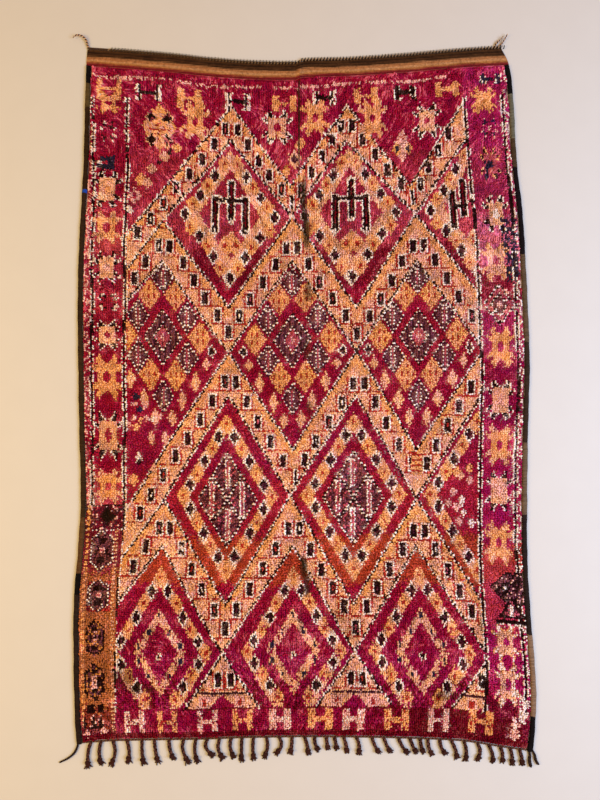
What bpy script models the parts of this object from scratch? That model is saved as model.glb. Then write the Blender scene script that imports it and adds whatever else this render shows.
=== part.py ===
# A hand-knotted pile rug lying flat: knotted ground with a flat-woven end, overcast side cords,
# a twined end cord with loose tails, and a fringe of knotted braids at the other end.
# Metres, +Z up, underside on z = 0. The fringe points along -Y.
import math
from collections import namedtuple

import bmesh
import bpy
from mathutils import Vector

# Driving dimensions
RUG_LENGTH = 2.700
PILE_LENGTH = 2.620
FLAT_WOVEN_THICKNESS = 0.004
SIDE_CORD_WIDTH = 0.022
SIDE_CORD_HEIGHT = 0.012
END_CORD_WIDTH = 0.009
END_CORD_HEIGHT = 0.0075
GAP = 0.0003
FLOOR_GAP = 0.0002

# The crease is a narrow standing pleat on the warps nearest the middle.
CREASE_X = -0.010
CREASE_WIDTH = 0.007
HALF_WIDTH = 0.870
CREASE_SHARE = CREASE_WIDTH / HALF_WIDTH
CREASE_HEIGHT = 0.005
CREASE_FROM = 2.10
CREASE_TO = 2.35

# Soft unevenness of the pile
LUMP_HEIGHT = 0.0008
LUMP_LENGTH = 0.21

# Cells of the ground's mesh on each half of the width, and along the pile
HALF_COLUMNS = 14
PILE_STATIONS = 50
FLAT_WOVEN_MIDDLE = 2.655
WELD_DISTANCE = 0.00001

# Braids of the fringe and loose tails of the cords
BRAID_RADIUS = 0.0062
TAIL_RADIUS = 0.0045
ROOT_DEPTH = 0.0045

# The middle of the whole outline, tails and braids included, becomes the origin.
MIDDLE_X = -0.03075
MIDDLE_Y = 1.35265

# Side edges: distance from the fringe end, left edge and right edge
Side = namedtuple("Side", "along left right")
SIDES = [
    Side(0.00, -0.842, 0.855),
    Side(0.08, -0.851, 0.868),
    Side(0.23, -0.862, 0.878),
    Side(0.50, -0.873, 0.867),
    Side(0.68, -0.865, 0.864),
    Side(0.87, -0.861, 0.871),
    Side(1.15, -0.878, 0.886),
    Side(1.40, -0.892, 0.903),
    Side(1.60, -0.902, 0.905),
    Side(1.82, -0.907, 0.903),
    Side(2.00, -0.905, 0.899),
    Side(2.20, -0.902, 0.884),
    Side(2.50, -0.906, 0.878),
    Side(2.63, -0.906, 0.864),
    Side(2.70, -0.904, 0.833),
]

# Ends: place across the width, and where the two ends lie there. The flat-woven end steps at
# the crease, where the pleat takes up cloth.
End = namedtuple("End", "x fringe_end flat_end")
ENDS = [
    End(-0.904, -0.028, 2.758),
    End(-0.720, -0.015, 2.744),
    End(-0.540, -0.011, 2.727),
    End(-0.390, -0.009, 2.709),
    End(-0.210, -0.003, 2.695),
    End(-0.018, 0.000, 2.693),
    End(-0.002, 0.000, 2.704),
    End(0.200, -0.001, 2.711),
    End(0.420, -0.006, 2.727),
    End(0.600, -0.015, 2.744),
    End(0.750, -0.037, 2.756),
    End(0.870, -0.052, 2.762),
]

# Height of the pile, shorter where the rug is worn
Pile = namedtuple("Pile", "along height")
PILE = [
    Pile(0.00, 0.0120),
    Pile(0.30, 0.0130),
    Pile(0.60, 0.0105),
    Pile(1.00, 0.0090),
    Pile(1.50, 0.0100),
    Pile(2.10, 0.0130),
    Pile(2.62, 0.0140),
]

# One row for each braid: root across the width, how far it reaches out from the edge, how far
# its tip leans to the side, and how far its middle bows out of the straight line
Braid = namedtuple("Braid", "root reach lean bow")
BRAIDS = [
    Braid(-0.788, 0.085, -0.005, -0.009),
    Braid(-0.750, 0.076, 0.003, -0.007),
    Braid(-0.706, 0.082, -0.006, 0.010),
    Braid(-0.654, 0.073, 0.008, 0.007),
    Braid(-0.598, 0.081, 0.009, -0.001),
    Braid(-0.552, 0.076, 0.016, 0.001),
    Braid(-0.497, 0.065, 0.019, -0.001),
    Braid(-0.444, 0.078, 0.022, -0.006),
    Braid(-0.397, 0.076, 0.007, -0.006),
    Braid(-0.354, 0.058, 0.026, -0.012),
    Braid(-0.309, 0.068, 0.014, -0.008),
    Braid(-0.266, 0.065, 0.012, -0.006),
    Braid(-0.226, 0.076, -0.002, -0.001),
    Braid(-0.183, 0.073, 0.002, -0.003),
    Braid(-0.135, 0.068, -0.008, 0.006),
    Braid(-0.089, 0.059, -0.014, 0.013),
    Braid(-0.040, 0.054, -0.006, 0.001),
    Braid(0.007, 0.056, 0.015, 0.006),
    Braid(0.046, 0.045, 0.014, -0.003),
    Braid(0.088, 0.038, 0.006, 0.001),
    Braid(0.119, 0.040, 0.009, 0.002),
    Braid(0.152, 0.049, 0.012, 0.006),
    Braid(0.200, 0.055, 0.009, 0.008),
    Braid(0.258, 0.052, 0.028, 0.003),
    Braid(0.302, 0.048, 0.026, 0.004),
    Braid(0.358, 0.052, 0.034, 0.003),
    Braid(0.399, 0.047, 0.024, 0.004),
    Braid(0.438, 0.045, 0.011, 0.000),
    Braid(0.467, 0.053, 0.015, -0.001),
    Braid(0.512, 0.050, 0.021, -0.002),
    Braid(0.553, 0.061, 0.021, 0.009),
    Braid(0.601, 0.064, 0.005, 0.006),
    Braid(0.650, 0.058, -0.002, 0.010),
    Braid(0.692, 0.058, 0.014, 0.009),
    Braid(0.736, 0.050, 0.006, 0.005),
    Braid(0.772, 0.052, 0.007, 0.004),
    Braid(0.806, 0.048, 0.010, 0.004),
]

# Thickness along a braid, as shares of its length and radius: a thin root, an even shaft,
# the overhand knot and the loose tuft below it
Girth = namedtuple("Girth", "share size")
BRAID_GIRTHS = [
    Girth(0.00, 0.75),
    Girth(0.14, 0.90),
    Girth(0.32, 1.00),
    Girth(0.50, 1.00),
    Girth(0.66, 0.95),
    Girth(0.76, 1.45),
    Girth(0.84, 1.40),
    Girth(0.90, 1.05),
    Girth(1.00, 1.50),
]

# Loose tails, hand-laid routes from the cord that each one grows out of
Stop = namedtuple("Stop", "x y z size")
FLAT_END_LEFT_TAIL = [
    Stop(-0.897, 2.752, 0.0035, 1.0),
    Stop(-0.904, 2.766, 0.0045, 1.1),
    Stop(-0.909, 2.786, 0.0080, 1.1),
    Stop(-0.924, 2.802, 0.0120, 1.0),
    Stop(-0.948, 2.807, 0.0130, 0.8),
    Stop(-0.966, 2.795, 0.0110, 0.3),
]
FLAT_END_RIGHT_TAILS = [
    [
        Stop(0.820, 2.756, 0.0035, 0.8),
        Stop(0.838, 2.772, 0.0060, 0.8),
        Stop(0.852, 2.794, 0.0100, 0.7),
        Stop(0.862, 2.811, 0.0120, 0.6),
    ],
    [
        Stop(0.806, 2.755, 0.0035, 0.8),
        Stop(0.817, 2.775, 0.0060, 0.9),
        Stop(0.832, 2.789, 0.0080, 0.6),
        Stop(0.844, 2.804, 0.0090, 0.4),
    ],
]
SIDE_LEFT_TAIL = [
    Stop(-0.836, -0.018, 0.0036, 0.9),
    Stop(-0.840, -0.036, 0.0036, 1.1),
    Stop(-0.850, -0.055, 0.0036, 1.1),
    Stop(-0.872, -0.073, 0.0036, 1.0),
    Stop(-0.903, -0.088, 0.0030, 0.8),
]
SIDE_RIGHT_TAILS = [
    [
        Stop(0.840, -0.038, 0.0036, 0.9),
        Stop(0.844, -0.060, 0.0042, 1.2),
        Stop(0.842, -0.082, 0.0050, 1.5),
        Stop(0.846, -0.101, 0.0050, 1.5),
    ],
    [
        Stop(0.852, -0.040, 0.0036, 0.9),
        Stop(0.862, -0.060, 0.0042, 1.2),
        Stop(0.866, -0.080, 0.0042, 1.3),
        Stop(0.874, -0.094, 0.0042, 1.2),
    ],
]

# Cross-sections of the cords: place across the cord and height, both as shares
Profile = namedtuple("Profile", "place height")
SIDE_CORD_PROFILE = [
    Profile(0.00, 0.55),
    Profile(0.22, 0.92),
    Profile(0.50, 1.00),
    Profile(0.80, 0.80),
    Profile(1.00, 0.30),
]
END_CORD_PROFILE = [
    Profile(0.00, 0.50),
    Profile(0.30, 0.95),
    Profile(0.70, 0.95),
    Profile(1.00, 0.50),
]


def smooth_table(rows, key, column, at):
    """Read a table's column at a key value, with a smooth curve through the rows."""
    keys = [getattr(row, key) for row in rows]
    values = [getattr(row, column) for row in rows]
    at = min(max(at, keys[0]), keys[-1])
    upper = next(index for index in range(1, len(keys)) if at <= keys[index])
    lower = upper - 1
    span = keys[upper] - keys[lower]
    share = (at - keys[lower]) / span
    before = max(lower - 1, 0)
    after = min(upper + 1, len(keys) - 1)
    slope_in = (values[upper] - values[before]) / (keys[upper] - keys[before])
    slope_out = (values[after] - values[lower]) / (keys[after] - keys[lower])
    square = share * share
    cube = square * share
    return (
        (2 * cube - 3 * square + 1) * values[lower]
        + (cube - 2 * square + share) * span * slope_in
        + (3 * square - 2 * cube) * values[upper]
        + (cube - square) * span * slope_out
    )


def smooth_step(low, high, at):
    share = min(max((at - low) / (high - low), 0.0), 1.0)
    return share * share * (3.0 - 2.0 * share)


def floor_point(x, y, z=0.0):
    """A point measured from the fringe end's middle, in the part's own frame."""
    return Vector((x - MIDDLE_X, y - MIDDLE_Y, z))


def end_y(x, along):
    """The lengthwise place of a weft line at x."""
    fringe_end = smooth_table(ENDS, "x", "fringe_end", x)
    flat_end = smooth_table(ENDS, "x", "flat_end", x)
    return fringe_end + (flat_end - fringe_end) * along / RUG_LENGTH


def across_x(share, along, inset):
    """Place across the width: -1 is the left edge, 0 the crease and 1 the right edge."""
    if share < 0:
        side = smooth_table(SIDES, "along", "left", along) + inset
        return CREASE_X - share * (side - CREASE_X)
    side = smooth_table(SIDES, "along", "right", along) - inset
    return CREASE_X + share * (side - CREASE_X)


def pile_height(x, along):
    """Height of the pile's surface, with soft lumps."""
    turn = 2.0 * math.pi / LUMP_LENGTH
    lumps = math.sin(turn * (x + 0.6 * along)) + math.sin(turn * (1.3 * along - 0.7 * x) + 1.0)
    return smooth_table(PILE, "along", "height", along) + LUMP_HEIGHT * lumps


def crease_height(x, along):
    """Height that the standing pleat adds."""
    near = max(1.0 - abs(x - CREASE_X) / CREASE_WIDTH, 0.0)
    return CREASE_HEIGHT * near * smooth_step(CREASE_FROM, CREASE_TO, along)


def material(name, colour, roughness):
    """A plain wool surface."""
    wool = bpy.data.materials.new(name)
    wool.use_nodes = True
    shader = wool.node_tree.nodes["Principled BSDF"]
    shader.inputs["Base Color"].default_value = (*colour, 1.0)
    shader.inputs["Roughness"].default_value = roughness
    shader.inputs["Metallic"].default_value = 0.0
    return wool


def add_object(name, mesh, collection, surface=None):
    thing = bpy.data.objects.new(name, mesh)
    if surface:
        mesh.materials.append(surface)
    collection.objects.link(thing)
    return thing


def woven_solid(name, columns, rows, point, surface):
    """A closed solid under a grid of columns by rows, flat below. point(column, row) places it."""
    form = bmesh.new()
    bmesh.ops.create_grid(form, x_segments=len(columns) - 1, y_segments=len(rows) - 1, size=0.5)
    top = list(form.verts)
    for vertex in top:
        column = round((vertex.co.x + 0.5) * (len(columns) - 1))
        row = round((vertex.co.y + 0.5) * (len(rows) - 1))
        vertex.co = point(columns[column], rows[row])
    sheet = bmesh.ops.extrude_face_region(form, geom=form.faces[:])
    for item in sheet["geom"]:
        if isinstance(item, bmesh.types.BMVert):
            item.co.z = 0.0
    bmesh.ops.recalc_face_normals(form, faces=form.faces[:])
    mesh = bpy.data.meshes.new(name)
    form.to_mesh(mesh)
    form.free()
    return add_object(name, mesh, parts, surface)


def strand_mesh(name, routes, radius):
    """Four-sided strands that lie on one flat side, as one helper mesh to be joined to a cord."""
    curve = bpy.data.curves.new(name, "CURVE")
    curve.dimensions = "3D"
    curve.bevel_depth = radius
    curve.bevel_resolution = 0
    curve.use_fill_caps = True
    curve.twist_mode = "Z_UP"
    for route in routes:
        spline = curve.splines.new("POLY")
        spline.points.add(len(route) - 1)
        for point, stop in zip(spline.points, route):
            point.co = (*floor_point(stop.x, stop.y, stop.z), 1.0)
            point.radius = stop.size
            point.tilt = math.radians(45)
    guide = bpy.data.objects.new(name, curve)
    helpers.objects.link(guide)
    depsgraph = bpy.context.evaluated_depsgraph_get()
    mesh = bpy.data.meshes.new_from_object(guide.evaluated_get(depsgraph))
    form = bmesh.new()
    form.from_mesh(mesh)
    bmesh.ops.remove_doubles(form, verts=form.verts[:], dist=WELD_DISTANCE)
    bmesh.ops.recalc_face_normals(form, faces=form.faces[:])
    form.to_mesh(mesh)
    form.free()
    strands = bpy.data.objects.new(name + "_joined", mesh)
    strands.matrix_world = guide.matrix_world
    strands.hide_render = True
    strands.display_type = "WIRE"
    helpers.objects.link(strands)
    bpy.data.objects.remove(guide)
    return strands


def join_strands(cord, strands):
    union = cord.modifiers.new(strands.name, "BOOLEAN")
    union.operation = "UNION"
    union.object = strands


def braid_route(braid):
    """Where one braid runs: out from the edge, leaning and bowing to the side, level on the floor."""
    start_y = end_y(braid.root, 0.0) + ROOT_DEPTH
    route = []
    for girth in BRAID_GIRTHS:
        share = girth.share
        sideways = braid.lean * share * share + braid.bow * math.sin(math.pi * share)
        half_height = BRAID_RADIUS * girth.size / math.sqrt(2.0)
        route.append(Stop(
            braid.root + sideways,
            start_y - (braid.reach + ROOT_DEPTH) * share,
            half_height + FLOOR_GAP,
            girth.size,
        ))
    return route


def weave_columns():
    """Shares across the width, with two more beside the crease so that its pleat stands sharp."""
    even = [index / HALF_COLUMNS for index in range(-HALF_COLUMNS, HALF_COLUMNS + 1)]
    return sorted(even + [-CREASE_SHARE, CREASE_SHARE])


def pile_rows():
    """Stations along the pile, shared by the ground and the side cords so that their gap is even."""
    first = END_CORD_WIDTH + GAP
    last = PILE_LENGTH - 2 * GAP
    return [first + (last - first) * index / PILE_STATIONS for index in range(PILE_STATIONS + 1)]


def build_ground(surface):
    """Pile and flat-woven end in one piece of weaving."""
    pile_inset = SIDE_CORD_WIDTH + GAP
    flat_rows = [PILE_LENGTH, FLAT_WOVEN_MIDDLE, RUG_LENGTH - END_CORD_WIDTH - GAP]

    def point(share, along):
        if along < PILE_LENGTH:
            x = across_x(share, along, pile_inset)
            height = pile_height(x, along)
        else:
            x = across_x(share, along, 0.0)
            height = FLAT_WOVEN_THICKNESS
        return floor_point(x, end_y(x, along), height + crease_height(x, along))

    return woven_solid("rug_ground", weave_columns(), pile_rows() + flat_rows, point, surface)


def build_side_cord(name, side, surface):
    """Overcast cord along one side of the pile."""
    rows = [0.0] + pile_rows()
    rows[-1] -= GAP

    def point(profile, along):
        inset = SIDE_CORD_WIDTH * (1.0 - profile.place)
        x = across_x(side, along, inset)
        return floor_point(x, end_y(x, along), SIDE_CORD_HEIGHT * profile.height)

    return woven_solid(name, SIDE_CORD_PROFILE, rows, point, surface)


def build_end_cord(name, start, inset, surface):
    """Thin cord across one end, from start on along the rug."""
    def point(share, profile):
        along = start + END_CORD_WIDTH * profile.place
        x = across_x(share, start, inset)
        height = END_CORD_HEIGHT * profile.height + crease_height(x, along)
        return floor_point(x, end_y(x, along), height)

    return woven_solid(name, weave_columns(), END_CORD_PROFILE, point, surface)


for old in list(bpy.data.objects):
    bpy.data.objects.remove(old)

parts = bpy.data.collections.new("pile_rug")
helpers = bpy.data.collections.new("helpers")
bpy.context.scene.collection.children.link(parts)
bpy.context.scene.collection.children.link(helpers)

crimson_pile = material("crimson_pile", (0.33, 0.02, 0.07), 0.9)
dark_goat_hair = material("dark_goat_hair", (0.035, 0.022, 0.016), 0.85)
brown_goat_hair = material("brown_goat_hair", (0.05, 0.03, 0.02), 0.85)
twined_wool = material("twined_wool", (0.06, 0.045, 0.03), 0.85)
braided_wool = material("braided_wool", (0.07, 0.03, 0.025), 0.9)

build_ground(crimson_pile)

left_cord = build_side_cord("side_cord_left", -1, dark_goat_hair)
join_strands(left_cord, strand_mesh("left_tail", [SIDE_LEFT_TAIL], TAIL_RADIUS))

right_cord = build_side_cord("side_cord_right", 1, brown_goat_hair)
join_strands(right_cord, strand_mesh("right_tails", SIDE_RIGHT_TAILS, TAIL_RADIUS))

flat_end_cord = build_end_cord("flat_end_cord", RUG_LENGTH - END_CORD_WIDTH, 0.0, twined_wool)
flat_end_tails = [FLAT_END_LEFT_TAIL] + FLAT_END_RIGHT_TAILS
join_strands(flat_end_cord, strand_mesh("flat_end_tails", flat_end_tails, TAIL_RADIUS))

fringe = build_end_cord("braided_fringe", 0.0, SIDE_CORD_WIDTH + GAP, braided_wool)
join_strands(fringe, strand_mesh("braids", [braid_route(braid) for braid in BRAIDS], BRAID_RADIUS))
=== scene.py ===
import math
from collections import namedtuple

import bmesh
import bpy
import numpy as np
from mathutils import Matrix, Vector


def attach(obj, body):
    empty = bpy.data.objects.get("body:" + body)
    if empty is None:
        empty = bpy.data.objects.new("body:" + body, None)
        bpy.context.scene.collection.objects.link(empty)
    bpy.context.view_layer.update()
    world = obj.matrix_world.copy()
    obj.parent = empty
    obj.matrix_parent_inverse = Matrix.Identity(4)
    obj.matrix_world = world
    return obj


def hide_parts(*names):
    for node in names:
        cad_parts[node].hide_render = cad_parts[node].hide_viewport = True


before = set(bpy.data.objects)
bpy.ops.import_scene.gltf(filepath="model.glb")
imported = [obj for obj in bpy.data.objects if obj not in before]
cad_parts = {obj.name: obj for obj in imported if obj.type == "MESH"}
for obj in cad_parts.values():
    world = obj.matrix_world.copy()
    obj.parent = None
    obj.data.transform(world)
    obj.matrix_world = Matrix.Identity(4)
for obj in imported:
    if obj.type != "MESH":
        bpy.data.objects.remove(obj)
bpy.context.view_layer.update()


# The woven ground: wool wefts beaten over wool warps on an upright loom. The last 7 cm are flat
# weaving without pile, an ochre band and then a dark brown one, and the whole is one limp cloth
# that lies a little bowed, with one sharp pleat down from the flat-woven end.
RUG_LENGTH = 2.700
PILE_FROM = 0.0093
PILE_TO = 2.6194
FLAT_END_FROM = 2.620
FLAT_END_TO = 2.6907
CORD_INSET = 0.0223
GROUND_THICKNESS = 0.0028
GROUND_LIFT = 0.0004
CREASE_X = -0.010
CREASE_WIDTH = 0.007
CREASE_HEIGHT = 0.005
CREASE_FROM = 2.10
CREASE_TO = 2.35
MIDDLE_X = -0.03075
MIDDLE_Y = 1.35265

Side = namedtuple("Side", "along left right")
SIDES = [
    Side(0.00, -0.842, 0.855), Side(0.08, -0.851, 0.868), Side(0.23, -0.862, 0.878),
    Side(0.50, -0.873, 0.867), Side(0.68, -0.865, 0.864), Side(0.87, -0.861, 0.871),
    Side(1.15, -0.878, 0.886), Side(1.40, -0.892, 0.903), Side(1.60, -0.902, 0.905),
    Side(1.82, -0.907, 0.903), Side(2.00, -0.905, 0.899), Side(2.20, -0.902, 0.884),
    Side(2.50, -0.906, 0.878), Side(2.63, -0.906, 0.864), Side(2.70, -0.904, 0.833),
]

End = namedtuple("End", "x fringe_end flat_end")
ENDS = [
    End(-0.904, -0.028, 2.758), End(-0.720, -0.015, 2.744), End(-0.540, -0.011, 2.727),
    End(-0.390, -0.009, 2.709), End(-0.210, -0.003, 2.695), End(-0.018, 0.000, 2.693),
    End(-0.002, 0.000, 2.704), End(0.200, -0.001, 2.711), End(0.420, -0.006, 2.727),
    End(0.600, -0.015, 2.744), End(0.750, -0.037, 2.756), End(0.870, -0.052, 2.762),
]


def read_table(rows, key, column, at):
    """A smooth curve through one column of a table, read at every value of an array."""
    keys = np.array([getattr(row, key) for row in rows])
    values = np.array([getattr(row, column) for row in rows])
    at = np.clip(at, keys[0], keys[-1])
    upper = np.clip(np.searchsorted(keys, at), 1, len(keys) - 1)
    lower = upper - 1
    before = np.maximum(lower - 1, 0)
    after = np.minimum(upper + 1, len(keys) - 1)
    span = keys[upper] - keys[lower]
    share = (at - keys[lower]) / span
    slope_in = (values[upper] - values[before]) / (keys[upper] - keys[before])
    slope_out = (values[after] - values[lower]) / (keys[after] - keys[lower])
    square = share * share
    cube = square * share
    return (
        (2 * cube - 3 * square + 1) * values[lower]
        + (cube - 2 * square + share) * span * slope_in
        + (3 * square - 2 * cube) * values[upper]
        + (cube - square) * span * slope_out
    )


def across_x(share, along, inset):
    """Place across the rug: -1 is the left edge, 0 the pleat and 1 the right edge."""
    left = CREASE_X - (read_table(SIDES, "along", "left", along) + inset)
    right = read_table(SIDES, "along", "right", along) - inset - CREASE_X
    return CREASE_X + share * np.where(share < 0, left, right)


def weft_y(x, along):
    """Where a weft lies lengthwise: both ends of the rug bow."""
    fringe_end = read_table(ENDS, "x", "fringe_end", x)
    flat_end = read_table(ENDS, "x", "flat_end", x)
    return fringe_end + (flat_end - fringe_end) * along / RUG_LENGTH


def pleat_lift(x, along):
    """Height of the standing pleat."""
    near = np.maximum(1.0 - abs(x - CREASE_X) / CREASE_WIDTH, 0.0)
    rise = np.clip((along - CREASE_FROM) / (CREASE_TO - CREASE_FROM), 0.0, 1.0)
    return CREASE_HEIGHT * near * rise * rise * (3.0 - 2.0 * rise)


def in_part_frame(x, y, z):
    return np.stack([x - MIDDLE_X, y - MIDDLE_Y, z], axis=-1)


def linear(hex_colour):
    """A colour as it is read off a dye card, as linear red, green and blue."""
    values = np.array([int(hex_colour[at:at + 2], 16) / 255.0 for at in (0, 2, 4)])
    return np.where(values <= 0.04045, values / 12.92, ((values + 0.055) / 1.055) ** 2.4)


def colour_points(mesh, colours):
    """Gives every vertex its own yarn colour."""
    layer = mesh.color_attributes.new("yarn", "FLOAT_COLOR", "POINT")
    solid = np.ones((len(colours), 4))
    solid[:, :3] = np.clip(colours, 0.0, 1.0)
    layer.data.foreach_set("color", solid.ravel())


def add_piece(name, mesh, surface):
    mesh.materials.append(surface)
    piece = bpy.data.objects.new(name, mesh)
    bpy.context.scene.collection.objects.link(piece)
    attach(piece, "root")
    return piece


def wool_fibre_group():
    """Loose wool: a fine tangle of fibre that changes colour, roughness and height."""
    group = bpy.data.node_groups.new("wool_fibre", "ShaderNodeTree")
    sockets = group.interface
    sockets.new_socket("Dye", in_out="INPUT", socket_type="NodeSocketColor")
    sockets.new_socket("Fibre size", in_out="INPUT", socket_type="NodeSocketFloat")
    sockets.new_socket("Unevenness", in_out="INPUT", socket_type="NodeSocketFloat")
    sockets.new_socket("Colour", in_out="OUTPUT", socket_type="NodeSocketColor")
    sockets.new_socket("Roughness", in_out="OUTPUT", socket_type="NodeSocketFloat")
    sockets.new_socket("Height", in_out="OUTPUT", socket_type="NodeSocketFloat")
    nodes, links = group.nodes, group.links
    inside = nodes.new("NodeGroupInput")
    outside = nodes.new("NodeGroupOutput")
    place = nodes.new("ShaderNodeTexCoord")
    tangle = nodes.new("ShaderNodeTexNoise")
    tangle.inputs["Detail"].default_value = 3.0
    tangle.inputs["Roughness"].default_value = 0.65
    tangle.inputs["Distortion"].default_value = 0.8
    links.new(place.outputs["Object"], tangle.inputs["Vector"])
    links.new(inside.outputs["Fibre size"], tangle.inputs["Scale"])
    shade = nodes.new("ShaderNodeMapRange")
    shade.inputs["From Min"].default_value = 0.25
    shade.inputs["From Max"].default_value = 0.75
    links.new(tangle.outputs["Fac"], shade.inputs["Value"])
    darker = nodes.new("ShaderNodeMath")
    darker.operation = "SUBTRACT"
    darker.inputs[0].default_value = 1.0
    links.new(inside.outputs["Unevenness"], darker.inputs[1])
    links.new(darker.outputs[0], shade.inputs["To Min"])
    lighter = nodes.new("ShaderNodeMath")
    lighter.operation = "ADD"
    lighter.inputs[0].default_value = 1.0
    links.new(inside.outputs["Unevenness"], lighter.inputs[1])
    links.new(lighter.outputs[0], shade.inputs["To Max"])
    scaled = nodes.new("ShaderNodeVectorMath")
    scaled.operation = "SCALE"
    links.new(inside.outputs["Dye"], scaled.inputs[0])
    links.new(shade.outputs["Result"], scaled.inputs["Scale"])
    links.new(scaled.outputs["Vector"], outside.inputs["Colour"])
    matt = nodes.new("ShaderNodeMapRange")
    matt.inputs["To Min"].default_value = 0.95
    matt.inputs["To Max"].default_value = 0.78
    links.new(tangle.outputs["Fac"], matt.inputs["Value"])
    links.new(matt.outputs["Result"], outside.inputs["Roughness"])
    links.new(tangle.outputs["Fac"], outside.inputs["Height"])
    return group


wool_fibre = wool_fibre_group()


def wool_material(name, fibre_size, unevenness, bump_distance):
    """Wool whose dye comes from the yarn colours of the mesh."""
    surface = bpy.data.materials.new(name)
    surface.use_nodes = True
    nodes, links = surface.node_tree.nodes, surface.node_tree.links
    shader = nodes["Principled BSDF"]
    shader.inputs["Specular IOR Level"].default_value = 0.05
    dye = nodes.new("ShaderNodeAttribute")
    dye.attribute_name = "yarn"
    fibre = nodes.new("ShaderNodeGroup")
    fibre.node_tree = wool_fibre
    fibre.inputs["Fibre size"].default_value = fibre_size
    fibre.inputs["Unevenness"].default_value = unevenness
    links.new(dye.outputs["Color"], fibre.inputs["Dye"])
    links.new(fibre.outputs["Colour"], shader.inputs["Base Color"])
    links.new(fibre.outputs["Roughness"], shader.inputs["Roughness"])
    bump = nodes.new("ShaderNodeBump")
    bump.inputs["Strength"].default_value = 0.6
    bump.inputs["Distance"].default_value = bump_distance
    links.new(fibre.outputs["Height"], bump.inputs["Height"])
    links.new(bump.outputs["Normal"], shader.inputs["Normal"])
    return surface


GROUND_COLUMNS = 96
GROUND_ROWS = 152
FLAT_END_ROWS = 14
FLAT_END_LIFT = 0.0006
FLAT_END_WAVE = 0.0004
# Tones through the flat-woven end: dark crimson next to the pile, partly crimson wefts and partly
# painted shade at the foot of the pile, then ochre and dark brown
ToneStop = namedtuple("ToneStop", "at colour")
WEFT_AND_SHADOW_TONES = [
    ToneStop(0.00, "5c1018"), ToneStop(0.13, "7c2222"), ToneStop(0.19, "90502c"), ToneStop(0.26, "b0743f"),
    ToneStop(0.34, "bc865a"), ToneStop(0.44, "a4683a"), ToneStop(0.55, "9a6640"), ToneStop(0.60, "5a3a20"),
    ToneStop(0.64, "301c0e"), ToneStop(0.74, "4c2e18"), ToneStop(0.82, "24140a"), ToneStop(0.92, "4a2e18"),
]

form = bmesh.new()
all_rows = GROUND_ROWS + FLAT_END_ROWS
bmesh.ops.create_grid(form, x_segments=GROUND_COLUMNS, y_segments=all_rows, size=0.5)
flat = np.array([vertex.co[:] for vertex in form.verts])
column = np.rint((flat[:, 0] + 0.5) * GROUND_COLUMNS).astype(int)
row = np.rint((flat[:, 1] + 0.5) * all_rows).astype(int)
stations = np.concatenate([
    np.linspace(PILE_FROM, PILE_TO, GROUND_ROWS),
    np.linspace(FLAT_END_FROM, FLAT_END_TO, FLAT_END_ROWS + 1),
])
cloth_share = column / (GROUND_COLUMNS / 2) - 1.0
cloth_along = stations[row]
flat_part = cloth_along >= FLAT_END_FROM
cloth_x = np.where(
    flat_part, across_x(cloth_share, cloth_along, 0.0), across_x(cloth_share, cloth_along, CORD_INSET))
cloth_y = weft_y(cloth_x, cloth_along)
cloth_z = GROUND_LIFT + GROUND_THICKNESS + pleat_lift(cloth_x, cloth_along)
waves = np.sin(cloth_x * 41.0) * np.sin(cloth_x * 17.0)
cloth_z = cloth_z + np.where(flat_part, FLAT_END_LIFT + FLAT_END_WAVE * waves, 0.0)
for vertex, place in zip(form.verts, in_part_frame(cloth_x, cloth_y, cloth_z)):
    vertex.co = place
under = bmesh.ops.extrude_face_region(form, geom=form.faces[:])
for item in under["geom"]:
    if isinstance(item, bmesh.types.BMVert):
        item.co.z -= GROUND_THICKNESS
bmesh.ops.recalc_face_normals(form, faces=form.faces[:])
mesh = bpy.data.meshes.new("woven_ground")
form.to_mesh(mesh)
form.free()
through = (cloth_along - FLAT_END_FROM) / (FLAT_END_TO - FLAT_END_FROM)
flat_end_place = mesh.attributes.new("through_flat_end", "FLOAT", "POINT")
flat_end_place.data.foreach_set("value", np.concatenate([through, through]))

ground_weave = wool_material("flat_woven_wool", 110.0, 0.50, 0.0012)
nodes, links = ground_weave.node_tree.nodes, ground_weave.node_tree.links
ribs = nodes.new("ShaderNodeTexWave")
ribs.bands_direction = "Y"
ribs.inputs["Scale"].default_value = 95.0
ribs.inputs["Distortion"].default_value = 1.6
ribs.inputs["Detail"].default_value = 2.0
ribs.inputs["Detail Scale"].default_value = 2.0
position = nodes.new("ShaderNodeTexCoord")
links.new(position.outputs["Object"], ribs.inputs["Vector"])
# Every weft of the flat-woven end is one length of yarn, so its tones run across the rug in streaks
drawn_out = nodes.new("ShaderNodeMapping")
drawn_out.inputs["Scale"].default_value = (9.0, 260.0, 9.0)
links.new(position.outputs["Object"], drawn_out.inputs["Vector"])
streak = nodes.new("ShaderNodeTexNoise")
streak.inputs["Scale"].default_value = 1.0
streak.inputs["Detail"].default_value = 4.0
links.new(drawn_out.outputs["Vector"], streak.inputs["Vector"])
through_end = nodes.new("ShaderNodeAttribute")
through_end.attribute_name = "through_flat_end"
shifted = nodes.new("ShaderNodeMapRange")
shifted.inputs["To Min"].default_value = -0.17
shifted.inputs["To Max"].default_value = 0.17
links.new(streak.outputs["Fac"], shifted.inputs["Value"])
weft_place = nodes.new("ShaderNodeMath")
weft_place.operation = "ADD"
links.new(through_end.outputs["Fac"], weft_place.inputs[0])
links.new(shifted.outputs["Result"], weft_place.inputs[1])
# The first, darkest crimson stops are partly painted shade at the foot of the pile
weft_and_shadow_ramp = nodes.new("ShaderNodeValToRGB")
stops = weft_and_shadow_ramp.color_ramp.elements
for number, tone_stop in enumerate(WEFT_AND_SHADOW_TONES):
    stop = stops[number] if number < 2 else stops.new(tone_stop.at)
    stop.position = tone_stop.at
    stop.color = (*linear(tone_stop.colour), 1.0)
links.new(weft_place.outputs["Value"], weft_and_shadow_ramp.inputs["Fac"])
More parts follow.
